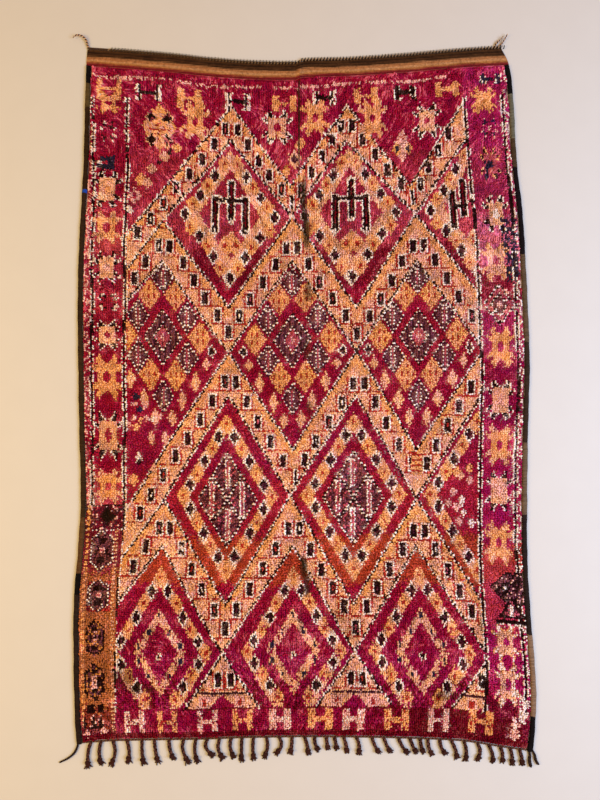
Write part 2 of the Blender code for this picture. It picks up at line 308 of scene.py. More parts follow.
# The yarn colours of the knots end where the flat weaving starts
past_pile = nodes.new("ShaderNodeMath")
past_pile.operation = "GREATER_THAN"
past_pile.inputs[1].default_value = 0.0
links.new(through_end.outputs["Fac"], past_pile.inputs[0])
weave_colour = nodes.new("ShaderNodeMix")
weave_colour.data_type = "RGBA"
links.new(past_pile.outputs["Value"], weave_colour.inputs["Factor"])
links.new(nodes["Attribute"].outputs["Color"], weave_colour.inputs["A"])
links.new(weft_and_shadow_ramp.outputs["Color"], weave_colour.inputs["B"])
links.new(weave_colour.outputs["Result"], nodes["Group"].inputs["Dye"])
rib_bump = nodes.new("ShaderNodeBump")
rib_bump.inputs["Strength"].default_value = 0.8
rib_bump.inputs["Distance"].default_value = 0.0012
links.new(ribs.outputs["Fac"], rib_bump.inputs["Height"])
links.new(nodes["Bump"].outputs["Normal"], rib_bump.inputs["Normal"])
links.new(rib_bump.outputs["Normal"], nodes["Principled BSDF"].inputs["Normal"])

# Its yarn colours are those of the knots tied into it, and it gets them once the pile is dyed
woven_ground = add_piece("woven_ground", mesh, ground_weave)
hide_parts("rug_ground")


# The knotting chart: what the weaver ties, knot by knot, 240 knots across and 380 rows long,
# counted from the fringe end. Zigzag bands of small eyes run across the field and part it into
# rows of large lozenges. Borders of stars stand at both sides, and a row of H figures at both ends.
COLUMNS = 240
ROWS = 380
SEED = 11

Yarn = namedtuple("Yarn", "name colour")
YARNS = [
    Yarn("red", "a31545"),
    Yarn("orange", "f4a267"),
    Yarn("apricot", "f3aa84"),
    Yarn("cream", "ffd9c6"),
    Yarn("black", "260a08"),
    Yarn("aubergine", "4a1722"),
    Yarn("navy", "2c2338"),
    Yarn("maroon", "700618"),
    Yarn("scarlet", "b02a22"),
    Yarn("pink", "f2a99a"),
    Yarn("rose", "b84a55"),
    Yarn("ochre", "cc7d3c"),
    Yarn("mauve", "7a3c40"),
]
(RED, ORANGE, APRICOT, CREAM, BLACK, AUBERGINE, NAVY, MAROON, SCARLET, PINK, ROSE, OCHRE,
 MAUVE) = range(len(YARNS))

across, up = np.meshgrid(np.arange(COLUMNS) + 0.5, np.arange(ROWS) + 0.5)
column_number = across.astype(int)
row_number = up.astype(int)
chart = np.full((ROWS, COLUMNS), RED)
chance = np.random.default_rng(SEED)


def scatter():
    """A random value from 0 to 1 for each knot."""
    return chance.random((ROWS, COLUMNS))


def drift():
    """A random value for each knot, about one either way."""
    return chance.standard_normal((ROWS, COLUMNS))


# Inner and outer guard lines: row, and the column of each there
Guard = namedtuple("Guard", "row left_outer left_inner right_inner right_outer")
GUARDS = [
    Guard(0, 7.0, 18.5, 216.5, 236.5),
    Guard(20, 6.7, 18.8, 216.9, 237.5),
    Guard(72, 5.5, 20.2, 217.5, 237.5),
    Guard(125, 3.5, 21.5, 217.3, 236.5),
    Guard(182, 4.5, 22.4, 217.5, 237.0),
    Guard(238, 5.2, 23.2, 216.4, 236.8),
    Guard(298, 4.0, 22.5, 215.9, 237.0),
    Guard(360, 1.5, 21.4, 214.3, 236.8),
    Guard(380, 1.5, 21.0, 213.8, 236.8),
]
GUARD_TOP = 361
PATCHED_BORDER_TOP = 123


def guard_line(name):
    rows = [guard.row for guard in GUARDS]
    return np.interp(up, rows, [getattr(guard, name) for guard in GUARDS])


in_left = across < guard_line("left_inner")
in_right = across > guard_line("right_inner")
field = ~in_left & ~in_right
everywhere = np.ones_like(field)


def tie(knots, yarn):
    chart[knots] = yarn


def lozenge(column, row, half_width, half_height):
    """Knots of a lozenge."""
    if half_width <= 0 or half_height <= 0:
        return ~everywhere
    return abs(across - column) / half_width + abs(up - row) / half_height < 1.0


def block(column, row, half_width, half_height):
    """Knots of a box."""
    return (abs(across - column) < half_width) & (abs(up - row) < half_height)


def level_of(line):
    """The row at which a zigzag line passes each column."""
    return np.interp(across, [column for column, _ in line], [row for _, row in line])


# Upper and lower outlines of the zigzag bands, column and row of each turn, top band first
Band = namedtuple("Band", "upper lower")
BANDS = [
    Band([(20, 272), (81, 361), (114.5, 311.5), (147, 360), (181.5, 308), (213.5, 357)],
         [(20, 250), (43.7, 287), (81, 339.5), (115.5, 293), (146.5, 338), (183.5, 290.5),
          (218, 340)]),
    Band([(20, 250), (43.7, 287), (80.7, 237.3), (115.5, 293), (150.3, 236), (183.5, 290.5),
          (218, 240)],
         [(20, 232), (43.8, 262.5), (80.6, 210.5), (115.6, 265.5), (150.2, 210.3), (183.3, 262.5),
          (218, 210)]),
    Band([(20, 116), (80.6, 210.5), (116.1, 154.5), (150.2, 210.3), (182.8, 153.2), (218, 210)],
         [(20, 92), (43.7, 126), (80.5, 185.6), (114.5, 129), (150.1, 184.6), (183.1, 126),
          (219, 186)]),
    Band([(20, 92), (43.7, 126), (79.6, 69.5), (114.5, 129), (148.4, 68.8), (183.1, 126), (219, 69)],
         [(20, 69), (43.8, 100.7), (77.6, 43.3), (116.1, 100.8), (148.6, 43.3), (183, 100.2),
          (219, 43)]),
]
# The last band only shows its three tops above the row of H figures
FOOT_TOPS = [77.6, 148.6, 219]
FOOT_ROW = 43.3
FOOT_SLOPE = 1.42
FOOT_END = 14.5

bands = np.zeros_like(field)
for band in BANDS:
    bands |= field & (up < level_of(band.upper)) & (up > level_of(band.lower))
for top in FOOT_TOPS:
    bands |= field & (up < FOOT_ROW - FOOT_SLOPE * abs(across - top)) & (up > FOOT_END)
tie(bands, APRICOT)
# Brighter orange along the upper edge of each band
for band in BANDS:
    tie(bands & (up > level_of(band.upper) - 7) & (up < level_of(band.upper)), ORANGE)

# Eyes that run in steps down the legs of the bands: first eye, last eye and how many
EyeRun = namedtuple("EyeRun", "column row last_column last_row count")
EYE_RUNS = [
    EyeRun(77, 346, 84, 346, 2), EyeRun(71, 336, 29, 278, 7), EyeRun(90, 337, 109, 309, 4),
    EyeRun(120, 308, 138, 338, 4), EyeRun(143, 347, 149, 347, 2), EyeRun(155, 338, 176, 309, 4),
    EyeRun(187, 308, 204, 338, 4), EyeRun(41, 271, 47, 271, 2), EyeRun(34, 261, 28, 251, 2),
    EyeRun(55, 262, 74, 232, 4), EyeRun(86, 232, 106, 263, 4), EyeRun(112, 273, 118, 273, 2),
    EyeRun(124, 262, 144, 231, 4), EyeRun(157, 230, 175, 262, 4), EyeRun(181, 271, 187, 271, 2),
    EyeRun(193, 262, 212, 229, 4), EyeRun(80, 222, 80, 222, 1), EyeRun(150, 220, 150, 220, 1),
    EyeRun(78, 193, 84, 193, 2), EyeRun(71, 182, 30, 118, 7), EyeRun(90, 182, 110, 148, 4),
    EyeRun(122, 148, 142, 180, 4), EyeRun(148, 191, 154, 191, 2), EyeRun(160, 180, 180, 145, 4),
    EyeRun(188, 145, 211, 188, 5), EyeRun(41, 110, 47, 110, 2), EyeRun(34, 100, 28, 89, 2),
    EyeRun(54, 99, 73, 66, 4), EyeRun(85, 66, 106, 99, 4), EyeRun(113, 110, 119, 110, 2),
    EyeRun(125, 98, 143, 67, 4), EyeRun(155, 67, 175, 98, 4), EyeRun(181, 108, 187, 108, 2),
    EyeRun(193, 98, 211, 66, 4), EyeRun(79, 56, 79, 56, 1), EyeRun(149, 56, 149, 56, 1),
    EyeRun(75, 29, 82, 29, 2), EyeRun(146, 29, 152, 29, 2), EyeRun(214, 30, 214, 30, 1),
]
EYE_STEP = 5.0
eyes = []
for run in EYE_RUNS:
    for share in np.linspace(0.0, 1.0, run.count):
        eyes.append((
            math.floor(run.column + (run.last_column - run.column) * share) + 0.5,
            math.floor(run.row + (run.last_row - run.row) * share) + 0.5,
        ))

thin_red = scatter() < 0.78
for column, row in eyes:
    tie(bands & thin_red & block(column, row - EYE_STEP, 9.5, 0.6), SCARLET)
    tie(bands & thin_red & block(column - 3, row, 0.6, EYE_STEP), SCARLET)
    tie(bands & thin_red & block(column + 3, row, 0.6, EYE_STEP), SCARLET)
for column, row in eyes:
    tie(field & block(column, row, 2.6, 4.1), PINK)
    tie(field & block(column, row, 2.6, 4.1) & thin_red, CREAM)
    tie(field & block(column, row, 1.6, 3.1), BLACK)
    tie(block(column, row, 0.6, 1.6), AUBERGINE)
    if chance.random() < 0.3:
        tie(block(column, row, 0.6, 1.6), chance.choice([ROSE, SCARLET, CREAM]))

# Slim boxes and stripes in the narrow feet of the bands
SLIM_BOXES = [(115.5, 301.5), (182.5, 300.5), (117.5, 139.5)]
for column, row in SLIM_BOXES:
    for stripe, yarn in ((-2, SCARLET), (-1, CREAM), (0, BLACK), (1, CREAM), (2, SCARLET)):
        tie(field & block(column + stripe, row, 0.6, 4.1), yarn)
tie(field & block(183, 145, 3, 6), ORANGE)
tie(field & block(183, 145, 3, 6) & (row_number % 3 == 0), SCARLET)


def dark_cell(knots, column, row, half_width, half_height, heart=AUBERGINE):
    """A small dark lozenge with a cream outline."""
    tie(knots & lozenge(column, row, half_width + 1.1, half_height + 1.7), CREAM)
    tie(knots & lozenge(column, row, half_width, half_height), BLACK)
    tie(knots & lozenge(column, row, half_width, half_height) & ~thin_red, MAUVE)
    tie(knots & lozenge(column, row, half_width - 1.2, half_height - 1.8), heart)


def orange_cell(knots, column, row, half_width, half_height):
    """An orange lozenge with one red knot in its heart."""
    tie(knots & lozenge(column, row, half_width, half_height), ORANGE)
    tie(knots & lozenge(column, row, 1.1, 1.6), SCARLET)


# Row one of large lozenges: a chain of orange and dark cells on apricot round a red heart, and
# a three-armed comb over an orange cluster
Spot = namedtuple("Spot", "column row")
Bar = namedtuple("Bar", "column row half_width half_height")
ROW_ONE = [80.8, 147.8, 217.0]
ROW_ONE_ROW = 281.5
ROW_ONE_DARK = [
    Spot(9, 35), Spot(17, 22.5), Spot(25, 10.5), Spot(17, -2), Spot(9, -14), Spot(0.5, -27)]
ROW_ONE_ORANGE = [
    Spot(4, 43), Spot(13, 29), Spot(21, 17), Spot(22, 3), Spot(12, -8), Spot(5, -21)]
COMB = [Bar(0.7, 21, 1.6, 11.5), Bar(-8.6, 12.5, 1.6, 10.5), Bar(8.4, 12.5, 1.6, 10.5),
        Bar(0, 20.5, 8.5, 1.5)]
COMB_POINTS = [Spot(0.7, 9.5), Spot(-8.6, 1.5), Spot(8.4, 1.5)]
LAST_COMB = [Bar(-12.5, 10.5, 1.6, 11), Bar(-6.2, 17.5, 1.6, 11), Bar(-9.4, 12.5, 4, 1.5)]
inside = field & ~bands
for centre in ROW_ONE:
    row = ROW_ONE_ROW
    tie(inside & lozenge(centre, row + 10.5, 27.5, 41.5), APRICOT)
    tie(inside & lozenge(centre, row + 11.5, 17, 28.5), RED)
    for side in (-1, 1):
        for spot in ROW_ONE_ORANGE:
            orange_cell(inside, centre + side * spot.column, row + spot.row, 3.8, 5.6)
        for spot in ROW_ONE_DARK:
            dark_cell(inside, centre + side * spot.column, row + spot.row, 2.4, 3.8)
    tie(inside & lozenge(centre + 0.5, row - 7.5, 8, 9.5), APRICOT)
    tie(inside & lozenge(centre + 0.5, row - 7.5, 7, 8), ORANGE)
    for side in (-1, 1):
        tie(inside & lozenge(centre + 0.5 + side * 3, row - 7, 1.6, 2.2), SCARLET)
    tie(inside & lozenge(centre + 1, row - 13, 1.8, 2.8), RED)
for centre, comb in zip(ROW_ONE, (COMB, COMB, LAST_COMB)):
    row = ROW_ONE_ROW
    for bar in comb:
        column = centre + bar.column
        tie(field & block(column, row + bar.row, bar.half_width + 0.9, bar.half_height + 0.8), CREAM)
    if comb is COMB:
        for spot in COMB_POINTS:
            tie(field & lozenge(centre + spot.column, row + spot.row, 3.2, 4.0), CREAM)
            tie(field & lozenge(centre + spot.column, row + spot.row + 0.4, 2.0, 2.8), BLACK)
            tie(field & block(centre + spot.column, row + spot.row - 1.5, 0.6, 2.2), CREAM)
    for bar in comb:
        column = centre + bar.column
        tie(field & block(column, row + bar.row, bar.half_width, bar.half_height), BLACK)
        if bar.half_height > 2:
            tie(field & block(column, row + bar.row, 0.51, bar.half_height - 2), MAROON)

# Row two: a lattice of lozenges, orange and dark by turns, round one of several outlines
Cell = namedtuple("Cell", "column row half_width half_height")
ROW_TWO = [44.2, 115.8, 183.5]
ROW_TWO_ROW = 218.0
ROW_TWO_ORANGE = [Cell(7.2, 24.5, 6.2, 9.6), Cell(20.5, 0.5, 6.4, 10.0), Cell(7, -22, 6.2, 9.6)]
ROW_TWO_DARK = [
    Cell(0, 34.5, 6.3, 10.0), Cell(13.6, 12, 6.4, 10.2), Cell(13.6, -11.5, 6.4, 10.2),
    Cell(0, -34, 6.2, 9.8)]
ROW_TWO_SMALL = [
    Cell(24, -14.5, 2.4, 4.2), Cell(18, -25, 2.8, 6.2), Cell(10.5, -36, 2.8, 6.2),
    Cell(4.8, -46.5, 2.6, 6.0)]


def striped_cell(column, row, half_width, half_height):
    """A dark lozenge with a dotted outline and a cream bar down its middle."""
    dots = row_number % 2 == 0
    whole = field & lozenge(column, row, half_width, half_height)
    tie(whole, AUBERGINE)
    tie(whole & dots & ~lozenge(column, row, half_width - 1.3, half_height - 2.0), CREAM)
    tie(field & lozenge(column, row, half_width - 2.0, half_height - 3.0), MAUVE)
    tie(field & block(column, row, 1.5, half_height * 0.55) & ~dots, CREAM)
    tie(field & block(column, row, 0.5, half_height * 0.5), ROSE)


def flecked_cell(column, row, half_width, half_height):
    """An orange lozenge flecked with red."""
    tie(field & lozenge(column, row, half_width, half_height), ORANGE)
    flecks = (column_number % 3 == 0) & (row_number % 5 < 3)
    tie(field & lozenge(column, row, half_width - 1.6, half_height - 2.4) & flecks, SCARLET)


def dotted_outline(knots, column, row, half_width, half_height, yarn):
    """A lozenge with an outline of cream and dark knots by turns."""
    whole = knots & lozenge(column, row, half_width, half_height)
    tie(whole, np.where(row_number[whole] % 2 == 0, CREAM, BLACK))
    tie(knots & lozenge(column, row, half_width - 1.3, half_height - 2.0), yarn)


for centre in ROW_TWO:
    row = ROW_TWO_ROW
    for cell in ROW_TWO_ORANGE:
        for side in (-1, 1):
            flecked_cell(centre + side * cell.column, row + cell.row, cell.half_width, cell.half_height)
    for cell in ROW_TWO_DARK:
        for side in ((-1, 1) if cell.column else (1,)):
            striped_cell(centre + side * cell.column, row + cell.row, cell.half_width, cell.half_height)
    tie(field & lozenge(centre, row, 13.0, 20.5), RED)
    dotted_outline(field, centre, row, 10.8, 16.8, MAUVE)
    tie(field & lozenge(centre, row, 9.2, 14.4) & (column_number % 3 == 0), AUBERGINE)
    dotted_outline(field, centre, row, 5.6, 9.0, ROSE)
    tie(field & lozenge(centre, row, 1.6, 2.6), PINK)
    for cell in ROW_TWO_SMALL:
        for side in (-1, 1):
            column = centre + side * cell.column
            tie(inside & lozenge(column, row + cell.row, cell.half_width, cell.half_height), APRICOT)
    for side in (-1, 1):
        dark_cell(inside, centre + side * 27, row - 7, 1.6, 2.8)

# Row three: a chain of cells round a dark lozenge that is quartered and has four upright bars
ROW_THREE = [79.2, 148.9]
ROW_THREE_HALF = 215.5
ROW_THREE_ROW = 127.0
ROW_THREE_ORANGE = [
    Spot(0, 42.5), Spot(8, 28.5), Spot(16.5, 14), Spot(25, 1.5), Spot(16.5, -13), Spot(9, -25.5),
    Spot(0, -39)]
ROW_THREE_DARK = [
    Spot(4.3, 35), Spot(12.4, 21), Spot(20.6, 7.8), Spot(20.5, -5.5), Spot(12.8, -18.8),
    Spot(4.4, -31.8)]
ROW_THREE_BARS = [
    Bar(0, 14, 1.5, 8.5), Bar(0, -14.5, 1.5, 9.5), Bar(-8.4, 0, 1.5, 10.5), Bar(8.4, 0, 1.5, 10.5)]
for centre in ROW_THREE + [ROW_THREE_HALF]:
    row = ROW_THREE_ROW
    tie(inside & lozenge(centre, row + 1, 28.3, 47.5), APRICOT)
    tie(inside & lozenge(centre, row + 1, 21.8, 36), RED)
    for side in (-1, 1):
        for spot in ROW_THREE_ORANGE:
            orange_cell(inside, centre + side * spot.column, row + spot.row, 3.6, 5.8)
        for spot in ROW_THREE_DARK:
            dark_cell(inside, centre + side * spot.column, row + spot.row, 2.4, 3.8)
speckle = scatter()
for centre in ROW_THREE:
    row = ROW_THREE_ROW
    heart = field & lozenge(centre, row, 15.4, 24.7)
    dotted_outline(field, centre, row, 17.0, 27.2, MAUVE)
    tie(heart & (speckle < 0.30), AUBERGINE)
    tie(heart & (speckle > 0.80), ROSE)
    for side in (-1, 1):
        cross = abs(across - centre - side * (up - row) * 0.625) < 0.8
        tie(heart & cross, np.where(row_number[heart & cross] % 2 == 0, CREAM, BLACK))
    for bar in ROW_THREE_BARS:
        whole = field & block(centre + bar.column, row + bar.row, bar.half_width, bar.half_height)
        tie(whole & (speckle < 0.85), CREAM)
        tie(field & block(centre + bar.column, row + bar.row, 0.5, bar.half_height - 1), ROSE)

# Row four: the same chain round a red heart with a few dots, cut off by the row of H figures
ROW_FOUR = [43.8, 116.2, 184.0]
ROW_FOUR_ROW = 43.0
ROW_FOUR_ORANGE = [
    Spot(0, 41.5), Spot(9, 27), Spot(16.8, 13), Spot(25, 1), Spot(16.5, -11), Spot(8, -23)]
ROW_FOUR_DARK = [Spot(4.4, 33.5), Spot(12.6, 19.5), Spot(21, 7), Spot(21, -5), Spot(12.5, -17)]
ROW_FOUR_DOTS = [Spot(0, 20.5), Spot(5.8, 11.5), Spot(11.2, 4.5), Spot(11.2, -3.5), Spot(5.8, -11)]
above_foot = field & ~bands & (up > FOOT_END)
for centre in ROW_FOUR:
    row = ROW_FOUR_ROW
    tie(above_foot & lozenge(centre, row, 28, 46), APRICOT)
    tie(above_foot & lozenge(centre, row, 22.3, 36.5), RED)
    for side in (-1, 1):
        for spot in ROW_FOUR_ORANGE:
            orange_cell(above_foot, centre + side * spot.column, row + spot.row, 3.4, 5.6)
        for spot in ROW_FOUR_DARK:
            dark_cell(above_foot, centre + side * spot.column, row + spot.row, 2.2, 3.5)
    tie(above_foot & lozenge(centre, row + 1, 14.2, 23.4), APRICOT)
    tie(above_foot & lozenge(centre, row + 1, 9.8, 16.0), RED)
    for side in (-1, 1):
        for spot in ROW_FOUR_DOTS:
            tie(field & lozenge(centre + side * spot.column, row + spot.row, 2.2, 3.2), APRICOT)
            tie(field & block(centre + side * spot.column, row + spot.row, 0.6, 1.1), NAVY)
    tie(field & lozenge(centre, row - 1, 2.0, 2.6), CREAM)
    tie(field & block(centre, row - 1, 0.6, 0.6), BLACK)

# The feet of the last band: a dark line, small boxes below it and a red triangle between them
for top in FOOT_TOPS:
    foot = bands & (abs(across - top) < 26) & (up < FOOT_ROW)
    tie(foot & (abs(up - 22.5) < 0.9), AUBERGINE)
    for side in (-1, 1):
        tie(foot & block(top + side * 9.5, 18, 2.6, 3.2), PINK)
        tie(foot & block(top + side * 9.5, 18, 1.4, 2.0), SCARLET)
    tie(foot & lozenge(top, 14, 8, 8) & (up < 21.5), RED)
tie(above_foot & (up < 30) & (chart == RED) & (speckle < 0.30), MAROON)
tie(above_foot & (up < 58) & np.isin(chart, (APRICOT, ORANGE)) & (speckle < 0.11), RED)


def rising(line):
    """Where a zigzag line climbs to the right."""
    ahead = np.interp(across + 0.4, [column for column, _ in line], [row for _, row in line])
    return ahead > level_of(line)


def double_line(line, below, reach=everywhere):
    """One knot of cream outside the band and one of black inside. Where the line falls to the
    right the two yarns change places from row to row."""
    step = (up - level_of(line)) * (1 if below else -1)
    near = field & reach & (abs(step) < 1.35)
    light = (step > 0) ^ (~rising(line) & (row_number % 2 == 0))
    tie(near & light, CREAM)
    tie(near & ~light, BLACK)


for band in BANDS:
    double_line(band.upper, True)
    double_line(band.lower, False)
for top in FOOT_TOPS:
    reach = (FOOT_ROW - FOOT_END) / FOOT_SLOPE
    line = [(top - reach, FOOT_END), (top, FOOT_ROW), (top + reach, FOOT_END)]
    double_line(line, True, abs(across - top) < reach)

# Guard lines, three knots wide, black between two cream ones, with broken pale rows outside them
for name in ("left_inner", "right_inner", "left_outer", "right_outer"):
    away = across - guard_line(name)
    here = up < GUARD_TOP
    if name == "left_outer":
        here &= up > PATCHED_BORDER_TOP
    if name == "right_outer":
        here &= up > FOOT_END
    broken = scatter()
    tie(here & (abs(away) < 1.4) & (broken < 0.74), CREAM)
    tie(here & (abs(away) < 0.55) & (broken < 0.93), BLACK)
pale_rows = scatter() < 0.38
tie(pale_rows & (across < guard_line("left_outer") - 1.5) & (up > PATCHED_BORDER_TOP), PINK)
tie(pale_rows & (across > guard_line("right_outer") + 1.2) & (up > 20), CREAM)

# Stars of the borders and of the corner fields, after one small chart of a quarter of a star:
# b body, h heart, t tip, e edge. The points of a star have a tip of one yarn and an edge of another.
QUARTER_STAR = [
    "....e....",
    "...et....",
    "...ete...",
    "..ette...",
    ".ettte...",
    "bbbbb..ee",
    "bbbbbette",
    "bbbbbtte.",
    "bbbbbte..",
    "hbbbb....",
    "hhbbb....",
    "hhbbb....",
]
Star = namedtuple("Star", "column row half_width half_height body tip edge heart")
STARS = [
    Star(60.5, 350, 9, 13, ORANGE, ORANGE, APRICOT, RED),
    Star(128.5, 353, 8.5, 12, ORANGE, ORANGE, ORANGE, RED),
    Star(161.5, 351, 9, 13, ORANGE, ORANGE, APRICOT, RED),
    Star(107, 348.5, 8.8, 12, APRICOT, BLACK, CREAM, RED),
    Star(192.5, 347.5, 8.2, 11.5, APRICOT, BLACK, CREAM, RED),
    Star(11, 357, 7.5, 7, ORANGE, ORANGE, OCHRE, RED), Star(11, 339, 5.0, 6, RED, BLACK, CREAM, RED),
    Star(11.5, 304, 8.2, 11.5, APRICOT, BLACK, CREAM, ORANGE),
    Star(12, 281, 8.2, 10.5, ORANGE, APRICOT, APRICOT, RED),
    Star(13, 257, 7.8, 10, APRICOT, BLACK, CREAM, PINK),
    Star(14, 237, 6.0, 5.5, RED, BLACK, CREAM, RED),
    Star(13.5, 218, 7.8, 9.0, APRICOT, BLACK, CREAM, RED),
    Star(13, 194, 8.5, 13.5, ORANGE, ORANGE, ORANGE, RED),
    Star(13, 161, 8.2, 14.5, APRICOT, BLACK, CREAM, RED),
    Star(12.5, 133, 8, 10, ORANGE, APRICOT, APRICOT, RED),
    Star(225.5, 358, 8, 8.5, ORANGE, ORANGE, ORANGE, OCHRE),
    Star(228, 341, 5, 6, RED, NAVY, PINK, PINK), Star(227.5, 319, 6, 10, ROSE, BLACK, ORANGE, NAVY),
    Star(228.0, 289, 7.5, 11.5, APRICOT, BLACK, CREAM, CREAM),
    Star(226.5, 261, 8.2, 11.5, APRICOT, ORANGE, APRICOT, ROSE),
    Star(227.5, 212, 7.8, 12, ORANGE, ORANGE, APRICOT, RED),
    Star(227.5, 182, 7.8, 11.5, APRICOT, BLACK, CREAM, PINK),
    Star(227.5, 157, 7.8, 12, ORANGE, APRICOT, APRICOT, RED),
    Star(227.5, 132, 7.4, 11.5, APRICOT, BLACK, CREAM, PINK),
    Star(227.5, 104, 8, 12, ORANGE, APRICOT, ORANGE, RED),
    Star(228.3, 52.3, 7, 10, APRICOT, CREAM, ORANGE, RED),
    Star(228.3, 31, 7.5, 11.5, APRICOT, CREAM, APRICOT, RED),
]


def tie_star(star):
    letters = np.array([list(line) for line in QUARTER_STAR[::-1]])
    step = abs(across - star.column) / star.half_width * letters.shape[1]
    rise = abs(up - star.row) / star.half_height * letters.shape[0]
    near = (step < letters.shape[1]) & (rise < letters.shape[0])
    letter = letters[np.minimum(rise, letters.shape[0] - 1).astype(int),
                     np.minimum(step, letters.shape[1] - 1).astype(int)]
    for mark, yarn in (("b", star.body), ("h", star.heart), ("t", star.tip), ("e", star.edge)):
        tie(near & (letter == mark), yarn)


for star in STARS:
    tie_star(star)

# The first star of the field is a rosette with four dark patches, and one small rosette is pale
tie(lozenge(40, 344, 10.5, 15.5), ORANGE)
tie(lozenge(40, 343, 10.0, 13) & (speckle < 0.35), PINK)
tie(lozenge(40, 341, 8.0, 5) & (row_number % 3 == 0), SCARLET)
for side in (-1, 1):
    for row, reach in ((350, 4.8), (336, 4.4)):
        tie(lozenge(40 + side * reach, row, 3.8, 5.0), APRICOT)
        tie(lozenge(40 + side * reach, row, 2.7, 3.7), BLACK)
        tie(lozenge(40 + side * reach, row, 2.7, 3.7) & (speckle < 0.25), ROSE)
tie(lozenge(178, 333, 5.0, 11.5), PINK)
for side in (-1, 1):
    tie(lozenge(178 + side * 3.4, 331, 2.8, 4.2), ORANGE)
    tie(lozenge(178 + side * 3.2, 331, 1.3, 2.0), NAVY)
tie(lozenge(178, 338, 1.4, 2.2), SCARLET)

# Scraps that fill the corners: column, row, half width, half height and yarn
Scrap = namedtuple("Scrap", "column row half_width half_height yarn")
SCRAPS = [
    Scrap(50, 332, 3.5, 3.5, ORANGE), Scrap(46, 329, 1.6, 2.2, BLACK),
    Scrap(43, 326, 3.4, 3.6, APRICOT), Scrap(40, 322, 1.6, 2.0, BLACK),
    Scrap(36, 318, 3.4, 3.8, APRICOT), Scrap(30, 311, 3.6, 4.8, ORANGE),
    Scrap(34, 309, 3.0, 3.4, APRICOT), Scrap(27, 301, 4.2, 5.2, PINK), Scrap(27, 301, 1.8, 2.6, RED),
    Scrap(25, 292, 1.6, 3.2, CREAM), Scrap(117, 328, 4.4, 6.4, APRICOT),
    Scrap(117, 328, 2.1, 3.2, AUBERGINE), Scrap(120, 337, 3.6, 4.6, ORANGE),
    Scrap(112, 321, 2.8, 4.4, ORANGE), Scrap(98, 331, 1.8, 2.6, ORANGE), Scrap(29, 183, 2.4, 3.0, NAVY),
    Scrap(31, 176, 3.0, 2.4, NAVY), Scrap(28, 179, 2.4, 1.6, PINK), Scrap(34, 179, 2.6, 2.0, PINK),
    Scrap(27.9, 171.2, 1.6, 2.0, PINK), Scrap(25.1, 167.8, 1.6, 2.0, PINK),
    Scrap(31.2, 170.2, 1.6, 2.2, ORANGE), Scrap(34.6, 171.4, 1.7, 2.2, PINK),
    Scrap(38, 170.4, 1.6, 2.4, CREAM), Scrap(29, 166.2, 1.8, 2.4, ORANGE),
    Scrap(41.9, 172.8, 1.7, 2.2, PINK), Scrap(37.2, 159.7, 2.2, 4.6, APRICOT),
    Scrap(45, 160, 2.2, 5.0, APRICOT), Scrap(38.1, 142.4, 2.0, 4.4, APRICOT),
    Scrap(29.8, 148.3, 2.4, 4.0, CREAM), Scrap(29.8, 146.5, 1.2, 2.6, BLACK),
    Scrap(26.8, 136.6, 3.2, 4.2, ORANGE), Scrap(33, 130, 1.8, 2.4, APRICOT),
    Scrap(26, 122, 2.4, 3.4, PINK), Scrap(204.6, 141.4, 2.8, 3.2, ORANGE),
    Scrap(211.6, 143.0, 2.0, 3.4, ORANGE), Scrap(206.8, 138.8, 2.4, 2.8, APRICOT),
    Scrap(211.7, 136.9, 2.2, 2.8, PINK), Scrap(203.1, 129.9, 2.4, 2.8, PINK),
    Scrap(207.4, 125.1, 2.2, 2.8, CREAM), Scrap(200.4, 123.8, 2.2, 2.8, PINK),
    Scrap(204.2, 121.6, 2.4, 2.8, PINK), Scrap(208.5, 118.6, 1.8, 2.4, CREAM),
    Scrap(206.3, 114.1, 2.2, 3.0, PINK), Scrap(212.8, 113.5, 2.2, 3.2, CREAM),
    Scrap(204, 126, 0.9, 1.3, RED), Scrap(231, 243, 2.2, 3.0, PINK), Scrap(221, 248, 1.6, 3.0, MAROON),
]
for scrap in SCRAPS:
    tie(lozenge(scrap.column, scrap.row, scrap.half_width, scrap.half_height), scrap.yarn)
tie(block(11, 322.5, 4.2, 1.4), NAVY)
tie(block(13, 319, 1.6, 3.0), NAVY)
tie(block(8, 318, 2.6, 1.2), NAVY)
tie(block(6.5, 320, 1.2, 1.2), CREAM)
# A large dotted lozenge in the right border, and a patch of dark wool beside the cord
dotted_outline(in_right, 227.3, 236, 9.0, 12.6, ROSE)
dotted_outline(in_right, 227.3, 236, 5.2, 7.6, MAUVE)
tie(lozenge(227.3, 236, 1.8, 2.6), PINK)
dark_patch = block(234.5, 277, 4.5, 10) | block(235.5, 257, 3.5, 9) | block(225, 315, 1.2, 6)
tie(dark_patch & (speckle < 0.55), NAVY)

